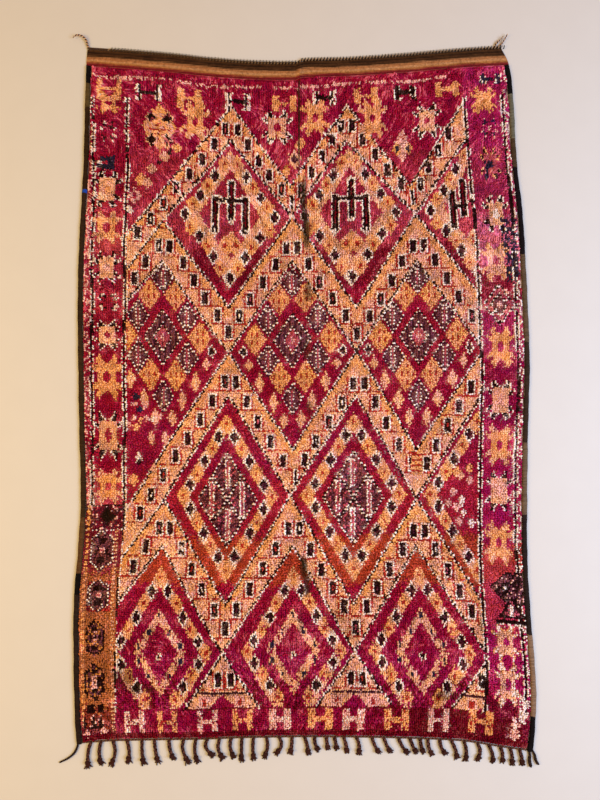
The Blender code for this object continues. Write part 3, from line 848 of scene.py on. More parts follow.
# H figures at both ends. The dark ones have a cream line outside each bar.
Figure = namedtuple("Figure", "column row half_width half_height yarn")
H_FIGURES = [
    Figure(11, 366, 7, 6.5, ORANGE), Figure(33.5, 365, 6.5, 5, BLACK), Figure(57, 364, 6.5, 6, ORANGE),
    Figure(84.5, 364.5, 6.5, 5.5, BLACK), Figure(111, 364, 6.5, 5.5, ORANGE),
    Figure(134, 365.5, 6, 5, BLACK), Figure(158, 366, 6.5, 5.5, ORANGE),
    Figure(180.5, 366.5, 6, 5, BLACK), Figure(205, 366.5, 6.5, 5, ORANGE),
    Figure(230.5, 371, 6, 3.5, NAVY), Figure(29.5, 8.5, 5.5, 6, PINK), Figure(47.5, 8, 5.5, 6, ORANGE),
    Figure(69.5, 8, 5.5, 6, PINK), Figure(88.5, 8, 5.5, 6, ORANGE), Figure(109, 8.5, 5.5, 6, PINK),
    Figure(130.5, 8.5, 6, 6, ORANGE), Figure(148, 8.5, 5.5, 6, PINK), Figure(170.5, 8.5, 6, 6, ORANGE),
    Figure(192.5, 9, 5.5, 6, PINK), Figure(214.5, 10, 6, 6, ORANGE),
]
CROSSBAR = 1.1
tie((up < FOOT_END) & (across > 18) & (across < 236), RED)
# Behind the figures of the foot the red turns maroon towards the right
tie((up < FOOT_END) & (across > 150 + 30 * speckle) & (across < 236), MAROON)
tie((abs(up - FOOT_END) < 0.8) & (across > 55) & (across < 216) & (speckle < 0.8), MAROON)
for figure in H_FIGURES:
    dark = figure.yarn in (BLACK, NAVY)
    bar = 1.0 if dark else 1.7
    for side in (-1, 1):
        column = figure.column + side * (figure.half_width - 1.5)
        if dark:
            outline = block(column + side * 0.3, figure.row, bar + 0.9, figure.half_height)
            tie(outline & (speckle < 0.8), CREAM)
        tie(block(column, figure.row, bar, figure.half_height), figure.yarn)
    tie(block(figure.column, figure.row, figure.half_width - 1, CROSSBAR), figure.yarn)
tie((up < FOOT_END) & (chart != RED) & (across > 20) & (speckle < 0.05), RED)
# A small pink tree at the right end of the foot, and two broken stripes above it
tie(block(232.2, 8, 0.9, 7.5) | (block(232.2, 7.5, 2.6, 5.5) & (row_number % 3 > 0)), PINK)
tie(block(236.2, 18, 2.0, 6) & (speckle < 0.8), CREAM)
tie(block(231, 27, 1.2, 5) & (speckle < 0.7), CREAM)
tie((up < FOOT_END) & (across > 20) & (chart == PINK) & (speckle > 0.72), CREAM)
tie((up < FOOT_END) & (across > 20) & (chart == ORANGE) & (speckle > 0.88), SCARLET)

# The foot of the left border was woven as patches: dark shields on red, then rosettes on ochre
patched = in_left & (up < PATCHED_BORDER_TOP)
tie(patched, RED)
tie(patched & (abs(up - PATCHED_BORDER_TOP) < 0.9), BLACK)
tie(patched & (up > 109) & (speckle > 0.62), AUBERGINE)
tie(patched & (up > 109) & (speckle < 0.16), PINK)
tie(patched & lozenge(12.4, 116.5, 4.2, 5.2), BLACK)
tie(patched & (abs(up - 109.5) < 0.6) & (column_number % 2 == 0), CREAM)
tie(patched & (abs(across - 18) < 0.7) & (up < 109) & (row_number % 2 == 0), APRICOT)
tie(patched & (abs(across - 1.8) < 0.9) & (up > 8) & (row_number % 3 > 0), ORANGE)


def hexagon(column, row, half_width, half_height):
    """Knots of an upright hexagon."""
    slope = abs(across - column) / half_width * 0.45 + abs(up - row) / half_height
    return (abs(across - column) < half_width) & (slope < 1.0)


crimson_box = patched & block(10.5, 74, 7.0, 8.5)
tie(crimson_box, SCARLET)
tie(crimson_box & (speckle < 0.5), MAROON)
SHIELDS = [Cell(10.2, 98.5, 6.6, 11.5), Cell(10.2, 74.5, 5.8, 9.2)]
for cell in SHIELDS:
    whole = patched & hexagon(cell.column, cell.row, cell.half_width, cell.half_height)
    inner = hexagon(cell.column, cell.row, cell.half_width - 1.2, cell.half_height - 1.6)
    tie(whole & ~inner & ((row_number + column_number) % 2 == 0), CREAM)
    tie(whole & ~inner & ((row_number + column_number) % 2 == 1), AUBERGINE)
    tie(whole & inner, MAUVE)
    tie(whole & inner & (speckle < 0.30), BLACK)
    for rise in (-0.42, 0.42):
        tie(whole & block(cell.column, cell.row + rise * cell.half_height, 2.2, 1.6), BLACK)
    tie(whole & block(cell.column, cell.row, 1.6, 1.1), PINK)
    tie(whole & block(cell.column, cell.row, 0.7, 0.8), ROSE)
ROSETTES = [Cell(8.9, 52.2, 5.2, 9.8), Cell(8.4, 29.8, 5.2, 9.6)]
for cell in ROSETTES:
    whole = patched & hexagon(cell.column, cell.row, cell.half_width, cell.half_height)
    inner = hexagon(cell.column, cell.row, cell.half_width - 1.1, cell.half_height - 1.6)
    tie(whole & ~inner & (speckle < 0.82), BLACK)
    tie(whole & inner, MAUVE)
    tie(whole & inner & (speckle > 0.55), OCHRE)
    for rise in (-0.5, 0.5):
        tie(whole & block(cell.column, cell.row + rise * cell.half_height, 1.5, 1.1), BLACK)
        tie(whole & block(cell.column, cell.row + 0.6 * rise * cell.half_height, 1.1, 0.6), PINK)
    for side in (-1, 1):
        tie(whole & block(cell.column + side * 2.6, cell.row, 0.6, 2.6), BLACK)
    tie(whole & block(cell.column, cell.row, 1.1, 1.6), PINK)
    tie(whole & block(cell.column, cell.row, 0.6, 0.6), BLACK)
for column in (6.0, 11.2):
    tie(patched & block(column, 16.4, 1.6, 2.1), BLACK)
for column in (7.2, 11.2):
    tie(patched & (up > 6) & (up < 13) & (abs(across - column) < (14 - up) * 0.30), PINK)
    tie(patched & (up > 6) & (up < 13) & (abs(across - column) < (12.8 - up) * 0.30), BLACK)
tie(patched & block(2.5, 9, 0.9, 3.5), BLACK)
tie(patched & lozenge(3.2, 3.5, 2.0, 3.0), PINK)
tie(patched & lozenge(12.6, 4.5, 2.0, 2.6), PINK)

# Dark outlines on mauve at the right, where they meet the cord: half a hexagon over a triangle
half_hexagon = in_right & lozenge(236, 80.5, 14.0, 14.5) & (abs(up - 80.5) < 8.5)
inner = lozenge(236, 80.5, 12.6, 12.6) & (abs(up - 80.5) < 7.3)
tie(half_hexagon & ~inner, BLACK)
tie(half_hexagon & inner, MAUVE)
tie(half_hexagon & inner & (speckle < 0.40), BLACK)
tie(half_hexagon & inner & (speckle > 0.85), PINK)
tie(half_hexagon & lozenge(230, 80.5, 2.6, 4.0), BLACK)
tie(half_hexagon & lozenge(230, 80.5, 1.1, 1.8), CREAM)
triangle = in_right & (up > 64.5) & (up < 75.5) & (abs(across - 233) < (77 - up) * 0.62)
inner = (up > 65.6) & (abs(across - 233) < (74.5 - up) * 0.62)
tie(triangle & ~inner, BLACK)
tie(triangle & inner, ROSE)
tie(triangle & inner & (speckle < 0.35), AUBERGINE)
tie(triangle & block(233, 69, 0.7, 3.5), CREAM)
tie(in_right & (abs(up - 62.8) < 0.9) & (across > 224), BLACK)
broken_row = (row_number + column_number // 2) % 2 == 0
tie(in_right & (abs(up - 61.0) < 0.9) & (across > 224) & broken_row, CREAM)

# Last rows at the ends
tie(up > 376.5, RED)
broken = scatter()
tie((abs(up - 373.8 + 0.8 * np.sin(across / 9.0)) < 0.9) & (across < 205) & (broken < 0.75), PINK)
tie((up < 2.6) & (broken < 0.95), MAROON)

# Dye lots of the red wool: it changes where one batch of yarn ran out, counted from the fringe end
Lot = namedtuple("Lot", "until_row colour")
FIELD_LOTS = [
    Lot(15, "960836"), Lot(44, "a00e42"), Lot(66, "9a0a34"), Lot(80, "a00d32"), Lot(106, "b54028"),
    Lot(140, "a41a30"), Lot(168, "961034"), Lot(206, "980c2e"), Lot(232, "a01830"), Lot(250, "a61436"),
    Lot(272, "861026"), Lot(296, "b8384c"), Lot(330, "ac283e"), Lot(380, "a00e36"),
]
LEFT_LOTS = [
    Lot(7, "64081a"), Lot(17, "8c3424"), Lot(66, "be6c3e"), Lot(88, "b4643c"), Lot(109, "86202e"),
    Lot(123, "7c1626"), Lot(140, "bc3e4c"), Lot(180, "9c0c2e"), Lot(208, "a01030"), Lot(230, "940c2a"),
    Lot(245, "b02238"), Lot(250, "8c1028"), Lot(266, "ac2a42"), Lot(276, "bc4048"), Lot(300, "b02a3c"),
    Lot(330, "980c2c"), Lot(380, "a01034"),
]
RIGHT_LOTS = [
    Lot(24, "80082a"), Lot(60, "ac1450"), Lot(82, "bc3448"), Lot(104, "bc3c3c"), Lot(126, "a8144a"),
    Lot(170, "ac144a"), Lot(206, "980e3c"), Lot(236, "b22a56"), Lot(258, "90152f"), Lot(290, "c45a70"),
    Lot(330, "ac2a4c"), Lot(380, "ae1c52"),
]


def lots_to_knots(lots):
    """The dye of the red wool in every knot, with a ragged change between two lots."""
    ragged = up + 1.2 * np.sin(across / 7.0) + 1.5 * drift()
    last_rows = [lot.until_row for lot in lots]
    shown_colours = np.array([linear(lot.colour) for lot in lots])
    return shown_colours[np.clip(np.searchsorted(last_rows, ragged), 0, len(lots) - 1)]


yarn_colours = np.array([linear(yarn.colour) for yarn in YARNS])
red_wool = np.where(
    in_left[..., None], lots_to_knots(LEFT_LOTS),
    np.where(in_right[..., None], lots_to_knots(RIGHT_LOTS), lots_to_knots(FIELD_LOTS)))


# The pile: tufts of hand-spun wool, knotted round the warps of the ground row by row and clipped
# unevenly. Long tufts lie over towards the fringe end in clumps and locks, combed by use. In the
# worn middle they are short and stand in ribs.
Pile = namedtuple("Pile", "along height")
PILE = [
    Pile(0.00, 0.0120), Pile(0.30, 0.0130), Pile(0.60, 0.0105), Pile(1.00, 0.0090),
    Pile(1.50, 0.0100), Pile(2.10, 0.0130), Pile(2.62, 0.0140),
]
LUMP_HEIGHT = 0.0008
LUMP_LENGTH = 0.21
STRIP_COLUMNS = 48
STRIP_NAMES = ["pile_far_left", "pile_left", "pile_middle", "pile_right", "pile_far_right"]
BAKE_CELLS = 136
SHOWN_PART = 0.72
SHOULDER_LEVEL = 0.62
LEAN_CURVE = 1.3
RISE_CURVE = 0.8
LOWEST_FIBRE = 0.0008

# The lay of the borders takes over from that of the field at this share of the half width
BORDER_FROM = 0.78
BORDER_BLEND = 0.06
# Tufts that lie over by the shorter reach stand in ribs, and the rest are more shaggy by this length
RIBBED_REACH = 0.003
SHAGGY_REACH = 0.010
LEAN_SPREAD = 0.0006
DYE_AND_SHADE_SPREAD = 0.24

# How far the tufts lie over, how thick they are and how much their locks stray, by row
Lay = namedtuple("Lay", "row reach stray girth")
FIELD_LAY = [
    Lay(0, 0.0095, 0.5, 0.0044), Lay(18, 0.0100, 0.5, 0.0044), Lay(55, 0.0120, 0.8, 0.0044),
    Lay(75, 0.0050, 0.5, 0.0048), Lay(110, 0.0026, 0.4, 0.0050), Lay(170, 0.0030, 0.4, 0.0050),
    Lay(215, 0.0060, 0.4, 0.0047), Lay(270, 0.0110, 0.5, 0.0044), Lay(320, 0.0180, 0.5, 0.0042),
    Lay(380, 0.0200, 0.5, 0.0042),
]
BORDER_LAY = [
    Lay(0, 0.0100, 0.8, 0.0044), Lay(60, 0.0090, 0.8, 0.0045), Lay(110, 0.0060, 0.8, 0.0047),
    Lay(200, 0.0110, 0.7, 0.0045), Lay(300, 0.0170, 0.6, 0.0042), Lay(380, 0.0190, 0.5, 0.0042),
]


def pile_height(x, along):
    turn = 2.0 * math.pi / LUMP_LENGTH
    lumps = np.sin(turn * (x + 0.6 * along)) + np.sin(turn * (1.3 * along - 0.7 * x) + 1.0)
    return read_table(PILE, "along", "height", along) + LUMP_HEIGHT * lumps


def by_knot(at_columns, at_rows, values):
    """Values read at other knots than each knot's own."""
    column = np.clip(np.rint(at_columns - 0.5), 0, COLUMNS - 1).astype(int)
    row = np.clip(np.rint(at_rows - 0.5), 0, ROWS - 1).astype(int)
    return values[row, column]


def clumps(size):
    """Smooth unevenness of a given size in knots, about one either way."""
    coarse = chance.standard_normal((int(ROWS / size) + 3, int(COLUMNS / size) + 3))
    row, column = up / size, across / size
    low_row, low_column = row.astype(int), column.astype(int)
    row_share, column_share = row - low_row, column - low_column
    row_share = row_share ** 2 * (3 - 2 * row_share)
    column_share = column_share ** 2 * (3 - 2 * column_share)
    lower, next_lower = coarse[low_row, low_column], coarse[low_row, low_column + 1]
    upper, next_upper = coarse[low_row + 1, low_column], coarse[low_row + 1, low_column + 1]
    lower = lower * (1 - column_share) + next_lower * column_share
    upper = upper * (1 - column_share) + next_upper * column_share
    return 1.6 * (lower * (1 - row_share) + upper * row_share)


def brushed(along_columns, along_rows, reach):
    """Fine unevenness drawn out in one direction, about one either way."""
    fine = drift()
    steps = range(-reach, reach + 1)
    total = sum(by_knot(across + step * along_columns, up + step * along_rows, fine) for step in steps)
    return total / math.sqrt(len(steps))


def joined_copies(name, pattern, places):
    """One mesh of many copies of a small pattern mesh. places holds every copy's own vertices."""
    copies, corners = places.shape[:2]
    corner = np.empty(len(pattern.loops), dtype=np.int64)
    start = np.empty(len(pattern.polygons), dtype=np.int64)
    pattern.loops.foreach_get("vertex_index", corner)
    pattern.polygons.foreach_get("loop_start", start)
    copy = np.arange(copies)[:, None]
    mesh = bpy.data.meshes.new(name)
    mesh.vertices.add(copies * corners)
    mesh.vertices.foreach_set("co", places.ravel())
    mesh.loops.add(copies * len(corner))
    mesh.loops.foreach_set("vertex_index", (corner + copy * corners).ravel())
    mesh.polygons.add(copies * len(start))
    mesh.polygons.foreach_set("loop_start", (start + copy * len(corner)).ravel())
    mesh.update(calc_edges=True)
    mesh.polygons.foreach_set("use_smooth", np.ones(copies * len(start), dtype=bool))
    return mesh


def tuft_pattern():
    """A tuft is a closed form of eight small faces: foot, four shoulders and tip."""
    form = bmesh.new()
    bmesh.ops.create_uvsphere(form, u_segments=4, v_segments=2, radius=1.0)
    mesh = bpy.data.meshes.new("tuft_pattern")
    form.to_mesh(mesh)
    form.free()
    return mesh


share = across / (COLUMNS / 2) - 1.0
along = PILE_FROM + (PILE_TO - PILE_FROM) * up / ROWS
root_x = across_x(share, along, CORD_INSET)
root_y = weft_y(root_x, along)
root_z = GROUND_LIFT + GROUND_THICKNESS * 0.6 + pleat_lift(root_x, along)

border_share = np.clip((abs(share) - BORDER_FROM) / BORDER_BLEND, 0.0, 1.0)
border_share = np.where(share < 0, 0.6 * border_share, border_share)
lay = {
    name: (1 - border_share) * read_table(FIELD_LAY, "row", name, up)
    + border_share * read_table(BORDER_LAY, "row", name, up)
    for name in ("reach", "stray", "girth")
}
shaggy = np.clip((lay["reach"] - RIBBED_REACH) / SHAGGY_REACH, 0.0, 1.0)
# The locks lean inwards from both sides, and stray in clumps
straying = lay["stray"] * (0.60 * clumps(8.0) + 0.30 * clumps(3.5))
heading = 0.60 * np.clip(-share * 1.6, -1, 1) + straying
reach = lay["reach"] * np.clip(1.0 + 0.25 * clumps(5.0) + 0.25 * drift(), 0.2, 1.9)
lean_x = reach * np.sin(heading) + LEAN_SPREAD * drift()
lean_y = -reach * np.cos(heading) + LEAN_SPREAD * drift()
height = pile_height(root_x, along) * (1.0 + 0.12 * drift() + 0.08 * clumps(6.0))
height = np.clip(height - 0.12 * reach, 0.005, 0.0165)
girth = lay["girth"] * np.clip(1.0 + 0.20 * drift(), 0.6, 1.5)
# The yarn of a long tuft shows near its tip, so its root stands back from the place in the chart
loose = 0.0009 + 0.0006 * (1 - shaggy)
start_x = root_x - SHOWN_PART * lean_x + loose * drift()
start_y = root_y - SHOWN_PART * lean_y + loose * drift()
start_x = np.clip(start_x, across_x(-1.0 + 0 * share, along, CORD_INSET + 0.002),
                  across_x(1.0 + 0 * share, along, CORD_INSET + 0.002))
start_y = np.minimum(start_y, weft_y(root_x, PILE_TO + 0 * along) - 0.003)

# Locks of the next knots fall over the edge of a colour, so edges are ragged where the pile is long
ragged = 0.12 + 0.22 * shaggy
knot_yarn = by_knot(
    across + ragged * 0.75 * drift(),
    up + ragged * 1.0 * drift(), chart)
knot_colours = np.where((knot_yarn == RED)[..., None], red_wool, yarn_colours[knot_yarn])

# Hand-spun yarn takes the dye unevenly: lock by lock where it is long, weft by weft where short.
# The light and dark streaks are partly that uneven dye and partly painted light and shade of lit
# and shaded locks. Pale fibre on the palest locks is partly sun-bleached and partly painted highlight.
lock_shade = brushed(np.sin(heading), -np.cos(heading), 3)
weft_shade = brushed(1.0, 0.0, 4)
knot_shade = drift()
shade = (
    shaggy * (0.85 * lock_shade + 0.25 * knot_shade)
    + (1 - shaggy) * (0.35 * weft_shade + 0.60 * knot_shade) + 0.30 * clumps(4.0) + 0.25 * clumps(12.0))
knot_colours = knot_colours * np.exp(DYE_AND_SHADE_SPREAD * shade)[..., None]
pinker = 0.75 * drift() + 0.55 * clumps(2.5) + 0.25 * clumps(14.0)
pinker = np.clip(pinker + 0.30 * share, -1.8, 1.8)
pinker = pinker * np.where((knot_yarn == CREAM) | (knot_yarn == PINK), 0.05, 0.20)
knot_colours[..., 2] *= np.exp(pinker)
# Painted highlight, partly sun-bleached fibre: the palest streaks are mixed towards pale pink
bleach_and_highlight = np.clip(shade - 0.35, 0.0, 2.0) * (0.07 + 0.13 * shaggy)
dark_yarn = np.isin(knot_yarn, (BLACK, AUBERGINE, NAVY, MAROON, MAUVE))
pale = linear("ffc2ae") * np.where(dark_yarn, 0.25, 1.0)[..., None]
pale = np.where((knot_yarn == RED)[..., None], linear("f2949a"), pale)
knot_colours = knot_colours * (1 - bleach_and_highlight[..., None]) + pale * bleach_and_highlight[..., None]

# Years of wear leave olive stains beside the pleat and fainter ones at the foot. The dark line
# along the pleat, the first entry, is painted shade on the pleat's steep side.
Darkening = namedtuple("Darkening", "column row half_width half_height strength")
STAINS_AND_PLEAT_SHADE = [
    Darkening(119.6, 368, 0.9, 60, 0.85), Darkening(122.0, 303, 1.9, 13, 0.9), Darkening(123.4, 282, 2.2, 11, 0.85),
    Darkening(124.3, 246, 2.2, 7, 0.7), Darkening(123.4, 211, 2.4, 6, 0.6), Darkening(125, 178, 1.6, 5, 0.45),
    Darkening(122.0, 89, 2.2, 6.5, 0.85), Darkening(123.8, 79, 2.0, 6.5, 0.85), Darkening(120.5, 60, 1.2, 7, 0.45),
    Darkening(13, 117, 5, 4, 0.4), Darkening(24, 31, 7, 5, 0.5), Darkening(33, 25, 10, 2.5, 0.45),
    Darkening(196, 22, 8, 2.4, 0.5), Darkening(80, 22, 12, 1.0, 0.4),
]
OLIVE = linear("2a200c")
# The dark line along the pleat is painted shade; the other entries are stains
for darkening in STAINS_AND_PLEAT_SHADE:
    away = ((across - darkening.column) / darkening.half_width) ** 2 + ((up - darkening.row) / darkening.half_height) ** 2
    strength = darkening.strength * np.clip(1.35 - away, 0.0, 1.0)[..., None]
    knot_colours = knot_colours * (1 - strength) + OLIVE * strength

# The back of every knot shows through the ground, a little darker
BACK_SHADE = 0.8
FLAT_END_DYE = "b57a46"
chart_column = np.clip((cloth_share + 1.0) * COLUMNS / 2, 0, COLUMNS - 1).astype(int)
chart_row = (cloth_along - PILE_FROM) / (PILE_TO - PILE_FROM) * ROWS
chart_row = np.clip(chart_row, 0, ROWS - 1).astype(int)
back_colours = knot_colours[chart_row, chart_column] * BACK_SHADE
back_colours = np.where(flat_part[:, None], linear(FLAT_END_DYE), back_colours)
colour_points(woven_ground.data, np.concatenate([back_colours, back_colours]))

# Every tuft has one cell of the baked picture, its tip in the middle and its foot outermost
SHOULDER_UV = 0.24
FOOT_UV = 0.46
tuft = tuft_pattern()
tuft_places = np.array([vertex.co[:] for vertex in tuft.vertices])
tuft_loops = np.array([loop.vertex_index for loop in tuft.loops])
tip = tuft_places[:, 2] > 0.5
foot = tuft_places[:, 2] < -0.5
shoulder = ~tip & ~foot
level = np.where(tip, 1.0, np.where(foot, 0.0, SHOULDER_LEVEL))
face_out = np.zeros((len(tuft_loops), 2))
for polygon in tuft.polygons:
    middle = np.mean([tuft_places[index][:2] for index in polygon.vertices], axis=0)
    face_out[list(polygon.loop_indices)] = middle / np.linalg.norm(middle)
uv_out = np.where(shoulder[tuft_loops, None], tuft_places[tuft_loops, :2], face_out)
uv_reach = np.where(shoulder, SHOULDER_UV, np.where(tip, 0.0, FOOT_UV))[tuft_loops]

pile_wool = wool_material("knotted_pile_wool", 900.0, 0.16, 0.0006)
turned = chance.uniform(0.0, 2.0 * math.pi, (ROWS, COLUMNS))
# Light reaches the tips, and the feet lie in shade
tuft_shade = np.where(tip, 1.25, np.where(foot, 0.48, 0.88))


def in_strip(values, strip):
    """The values of one strip's knots, one knot after the next."""
    columns = slice(strip * STRIP_COLUMNS, (strip + 1) * STRIP_COLUMNS)
    return values[:, columns].reshape(ROWS * STRIP_COLUMNS, 1, *values.shape[2:])


for strip, name in enumerate(STRIP_NAMES):
    lean = in_strip(np.stack([lean_x, lean_y], axis=-1), strip)
    root = in_strip(np.stack([start_x, start_y, root_z], axis=-1), strip)
    tall = in_strip(height, strip) - GROUND_THICKNESS
    axis = np.concatenate([lean, tall[..., None]], axis=-1)
    ahead = axis / np.linalg.norm(axis, axis=-1, keepdims=True)
    side = np.cross(ahead, [0.0, 0.0, 1.0])
    side = side / np.linalg.norm(side, axis=-1, keepdims=True)
    top = np.cross(side, ahead)
    angle = (np.arctan2(tuft_places[:, 1], tuft_places[:, 0]) + in_strip(turned, strip))[..., None]
    ring = (shoulder * in_strip(girth, strip))[..., None] * (np.cos(angle) * side + np.sin(angle) * top)
    places = in_part_frame(
        root[..., 0] + lean[..., 0] * level ** LEAN_CURVE + ring[..., 0],
        root[..., 1] + lean[..., 1] * level ** LEAN_CURVE + ring[..., 1],
        np.maximum(root[..., 2] + tall * level ** RISE_CURVE + ring[..., 2], LOWEST_FIBRE),
    )
    mesh = joined_copies(name, tuft, places)
    # Painted light and shade: each tuft's colour is lighter at its tip and darker at its foot
    shown_colours = in_strip(knot_colours, strip) * tuft_shade[None, :, None]
    colour_points(mesh, shown_colours.reshape(-1, 3))
    copies = np.arange(len(places))
    cell = np.stack([copies % BAKE_CELLS, copies // BAKE_CELLS], axis=-1)[:, None] + 0.5
    uv = (cell + (uv_out * uv_reach[:, None])[None]) / BAKE_CELLS
    uv_layer = mesh.uv_layers.new(name="OFBake")
    uv_layer.data.foreach_set("uv", uv.ravel())
    piece = add_piece(name, mesh, pile_wool)
    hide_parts("rug_ground")
bpy.data.meshes.remove(tuft)


# The side cords: goat hair wrapped round the outermost warps, one wrap against the next, in
# whatever dark hair was to hand, so the colour changes along them. Both end in loose tails.
SIDE_CORD_WIDTH = 0.022
SIDE_CORD_HEIGHT = 0.012
WRAP_PITCH = 0.0048
WRAP_AROUND = 10
TAIL_RADIUS = 0.0045
SIDE_TAIL_DYES = ["34221c", "241713"]
Hair = namedtuple("Hair", "until colour")
LEFT_HAIR = [
    Hair(0.30, "2a1c14"), Hair(0.53, "2e2018"), Hair(0.607, "120c0a"), Hair(0.813, "5c3d22"),
    Hair(1.5, "3a2614"), Hair(2.075, "342214"), Hair(2.097, "2349a8"), Hair(2.44, "33200f"),
    Hair(2.544, "5a4626"), Hair(2.63, "140e0c"),
]
RIGHT_HAIR = [
    Hair(0.119, "140e0e"), Hair(0.408, "8a6a50"), Hair(0.84, "2a1e1a"), Hair(1.10, "6b5540"),
    Hair(1.49, "38281e"), Hair(1.83, "5e4a36"), Hair(2.187, "171012"), Hair(2.303, "4a3826"),
    Hair(2.496, "6a6350"), Hair(2.63, "140f0e"),
]


def tube_mesh(name, around, rings):
    """A tube pattern as a mesh, with each vertex's ring and its angle round the tube."""
    form = bmesh.new()
    bmesh.ops.create_grid(form, x_segments=around, y_segments=rings - 1, size=0.5)
    places = np.array([vertex.co[:] for vertex in form.verts])
    turn = np.rint((places[:, 0] + 0.5) * around).astype(int)
    ring = np.rint((places[:, 1] + 0.5) * (rings - 1)).astype(int)
    angle = 2.0 * math.pi * turn / around
    for vertex, ring_angle, ring_number in zip(form.verts, angle, ring):
        vertex.co = (math.cos(ring_angle), math.sin(ring_angle), ring_number)
    bmesh.ops.remove_doubles(form, verts=form.verts[:], dist=0.001)
    bmesh.ops.holes_fill(form, edges=[edge for edge in form.edges if edge.is_boundary], sides=around)
    bmesh.ops.recalc_face_normals(form, faces=form.faces[:])
    mesh = bpy.data.meshes.new(name)
    form.to_mesh(mesh)
    form.free()
    places = np.array([vertex.co[:] for vertex in mesh.vertices])
    return mesh, np.rint(places[:, 2]).astype(int), np.arctan2(places[:, 1], places[:, 0])


def close_up(mesh):
    """Turns the faces of a finished mesh outwards."""
    form = bmesh.new()
    form.from_mesh(mesh)
    bmesh.ops.recalc_face_normals(form, faces=form.faces[:])
    form.to_mesh(mesh)
    form.free()


def strand_places(routes, radii, ring, angle):
    """Every vertex of tubes along routes. routes is strands by rings by place."""
    ahead = np.gradient(routes, axis=1)
    ahead = ahead / np.linalg.norm(ahead, axis=-1, keepdims=True)
    side = np.cross(ahead, [0.0, 0.0, 1.0])
    side = side / np.maximum(np.linalg.norm(side, axis=-1, keepdims=True), 1e-6)
    top = np.cross(side, ahead)
    outwards = np.cos(angle)[:, None] * side[:, ring] + np.sin(angle)[:, None] * top[:, ring]
    return routes[:, ring] + radii[:, ring, None] * outwards


def hair_colours(hair, places):
    """The hair that is wrapped at each place along the cord."""
    until = np.array([length.until for length in hair])
    shown_colours = np.array([linear(length.colour) for length in hair])
    return shown_colours[np.clip(np.searchsorted(until, places), 0, len(hair) - 1)]


def side_cord_mesh(name, side, hair):
    length = PILE_TO - 0.0006
    rings = int(length / WRAP_PITCH) * 2 + 1
    mesh, ring, angle = tube_mesh(name, WRAP_AROUND, rings)
    slant = 0.35 * WRAP_PITCH * np.cos(angle)
    along = np.clip(ring / (rings - 1) * length + slant, 0.0, length)
    swell = np.where(ring % 2 == 0, 0.90, 1.0)
    swell = np.where((ring == 0) | (ring == rings - 1), 0.6, swell)
    wander = 1.0 + 0.06 * np.sin(along * 37.0 + side) + 0.04 * np.sin(along * 101.0)
    middle = SIDE_CORD_WIDTH / 2
    inset = middle - middle * 0.97 * swell * np.cos(angle) * wander
    x = across_x(np.full(len(ring), float(side)), along, inset)
    z = SIDE_CORD_HEIGHT * (0.5 + 0.5 * np.sin(angle) * swell)
    z = np.maximum(z, 0.0004)
    places = in_part_frame(x, weft_y(x, along), z)
    mesh.vertices.foreach_set("co", places.ravel())
    mesh.update()
    close_up(mesh)
    wrap = chance.uniform(0.75, 1.3, rings)
    blend_in = along + 0.004 * np.sin(along * 250.0)
    # Painted shade: the rings between wraps, in the grooves, are painted darker; each wrap also has its own
    # random tone of hair
    shown_colours = hair_colours(hair, blend_in) * wrap[ring][:, None] * np.where(ring % 2 == 0, 0.55, 1.05)[:, None]
    mesh.polygons.foreach_set("use_smooth", np.ones(len(mesh.polygons), dtype=bool))
    colour_points(mesh, shown_colours)
    return mesh


Stop = namedtuple("Stop", "x y z size")
SIDE_LEFT_TAIL = [
    Stop(-0.836, -0.018, 0.0036, 0.9), Stop(-0.840, -0.036, 0.0036, 1.1), Stop(-0.850, -0.055, 0.0036, 1.1),
    Stop(-0.872, -0.073, 0.0036, 1.0), Stop(-0.903, -0.088, 0.0030, 0.8),
]
SIDE_RIGHT_TAILS = [
    [Stop(0.840, -0.038, 0.0036, 0.9), Stop(0.844, -0.060, 0.0042, 1.2), Stop(0.842, -0.082, 0.0050, 1.5),
     Stop(0.846, -0.101, 0.0050, 1.5)],
    [Stop(0.852, -0.040, 0.0036, 0.9), Stop(0.862, -0.060, 0.0042, 1.2), Stop(0.866, -0.080, 0.0042, 1.3),
     Stop(0.874, -0.094, 0.0042, 1.2)],
]
TAIL_RINGS = 40
TWIST_PITCH = 0.012
Step = namedtuple("Step", "share x y z size")


def smooth_route(stops, rings):
    """A smooth line through given stops, with its thickness."""
    keyed = [Step(index / (len(stops) - 1), *stop) for index, stop in enumerate(stops)]
    share = np.linspace(0.0, 1.0, rings)
    route = np.stack([read_table(keyed, "share", axis, share) for axis in "xyz"], axis=-1)
    return route, read_table(keyed, "share", "size", share)


def twisted_pair(route, size, radius, pitch):
    """Two plies that twist round one line."""
    steps = np.linalg.norm(np.diff(route, axis=0), axis=1)
    run = np.concatenate([[0.0], np.cumsum(steps)])
    ahead = np.gradient(route, axis=0)
    ahead = ahead / np.linalg.norm(ahead, axis=1, keepdims=True)
    side = np.cross(ahead, [0.0, 0.0, 1.0])
    top = np.cross(side, ahead)
    plies = []
    for start in (0.0, math.pi):
        angle = start + 2.0 * math.pi * run / pitch
        reach = (0.45 * radius * size)[:, None]
        plies.append(route + reach * (np.cos(angle)[:, None] * side + np.sin(angle)[:, None] * top))
    return plies, np.maximum(0.55 * radius * size, 0.0006)


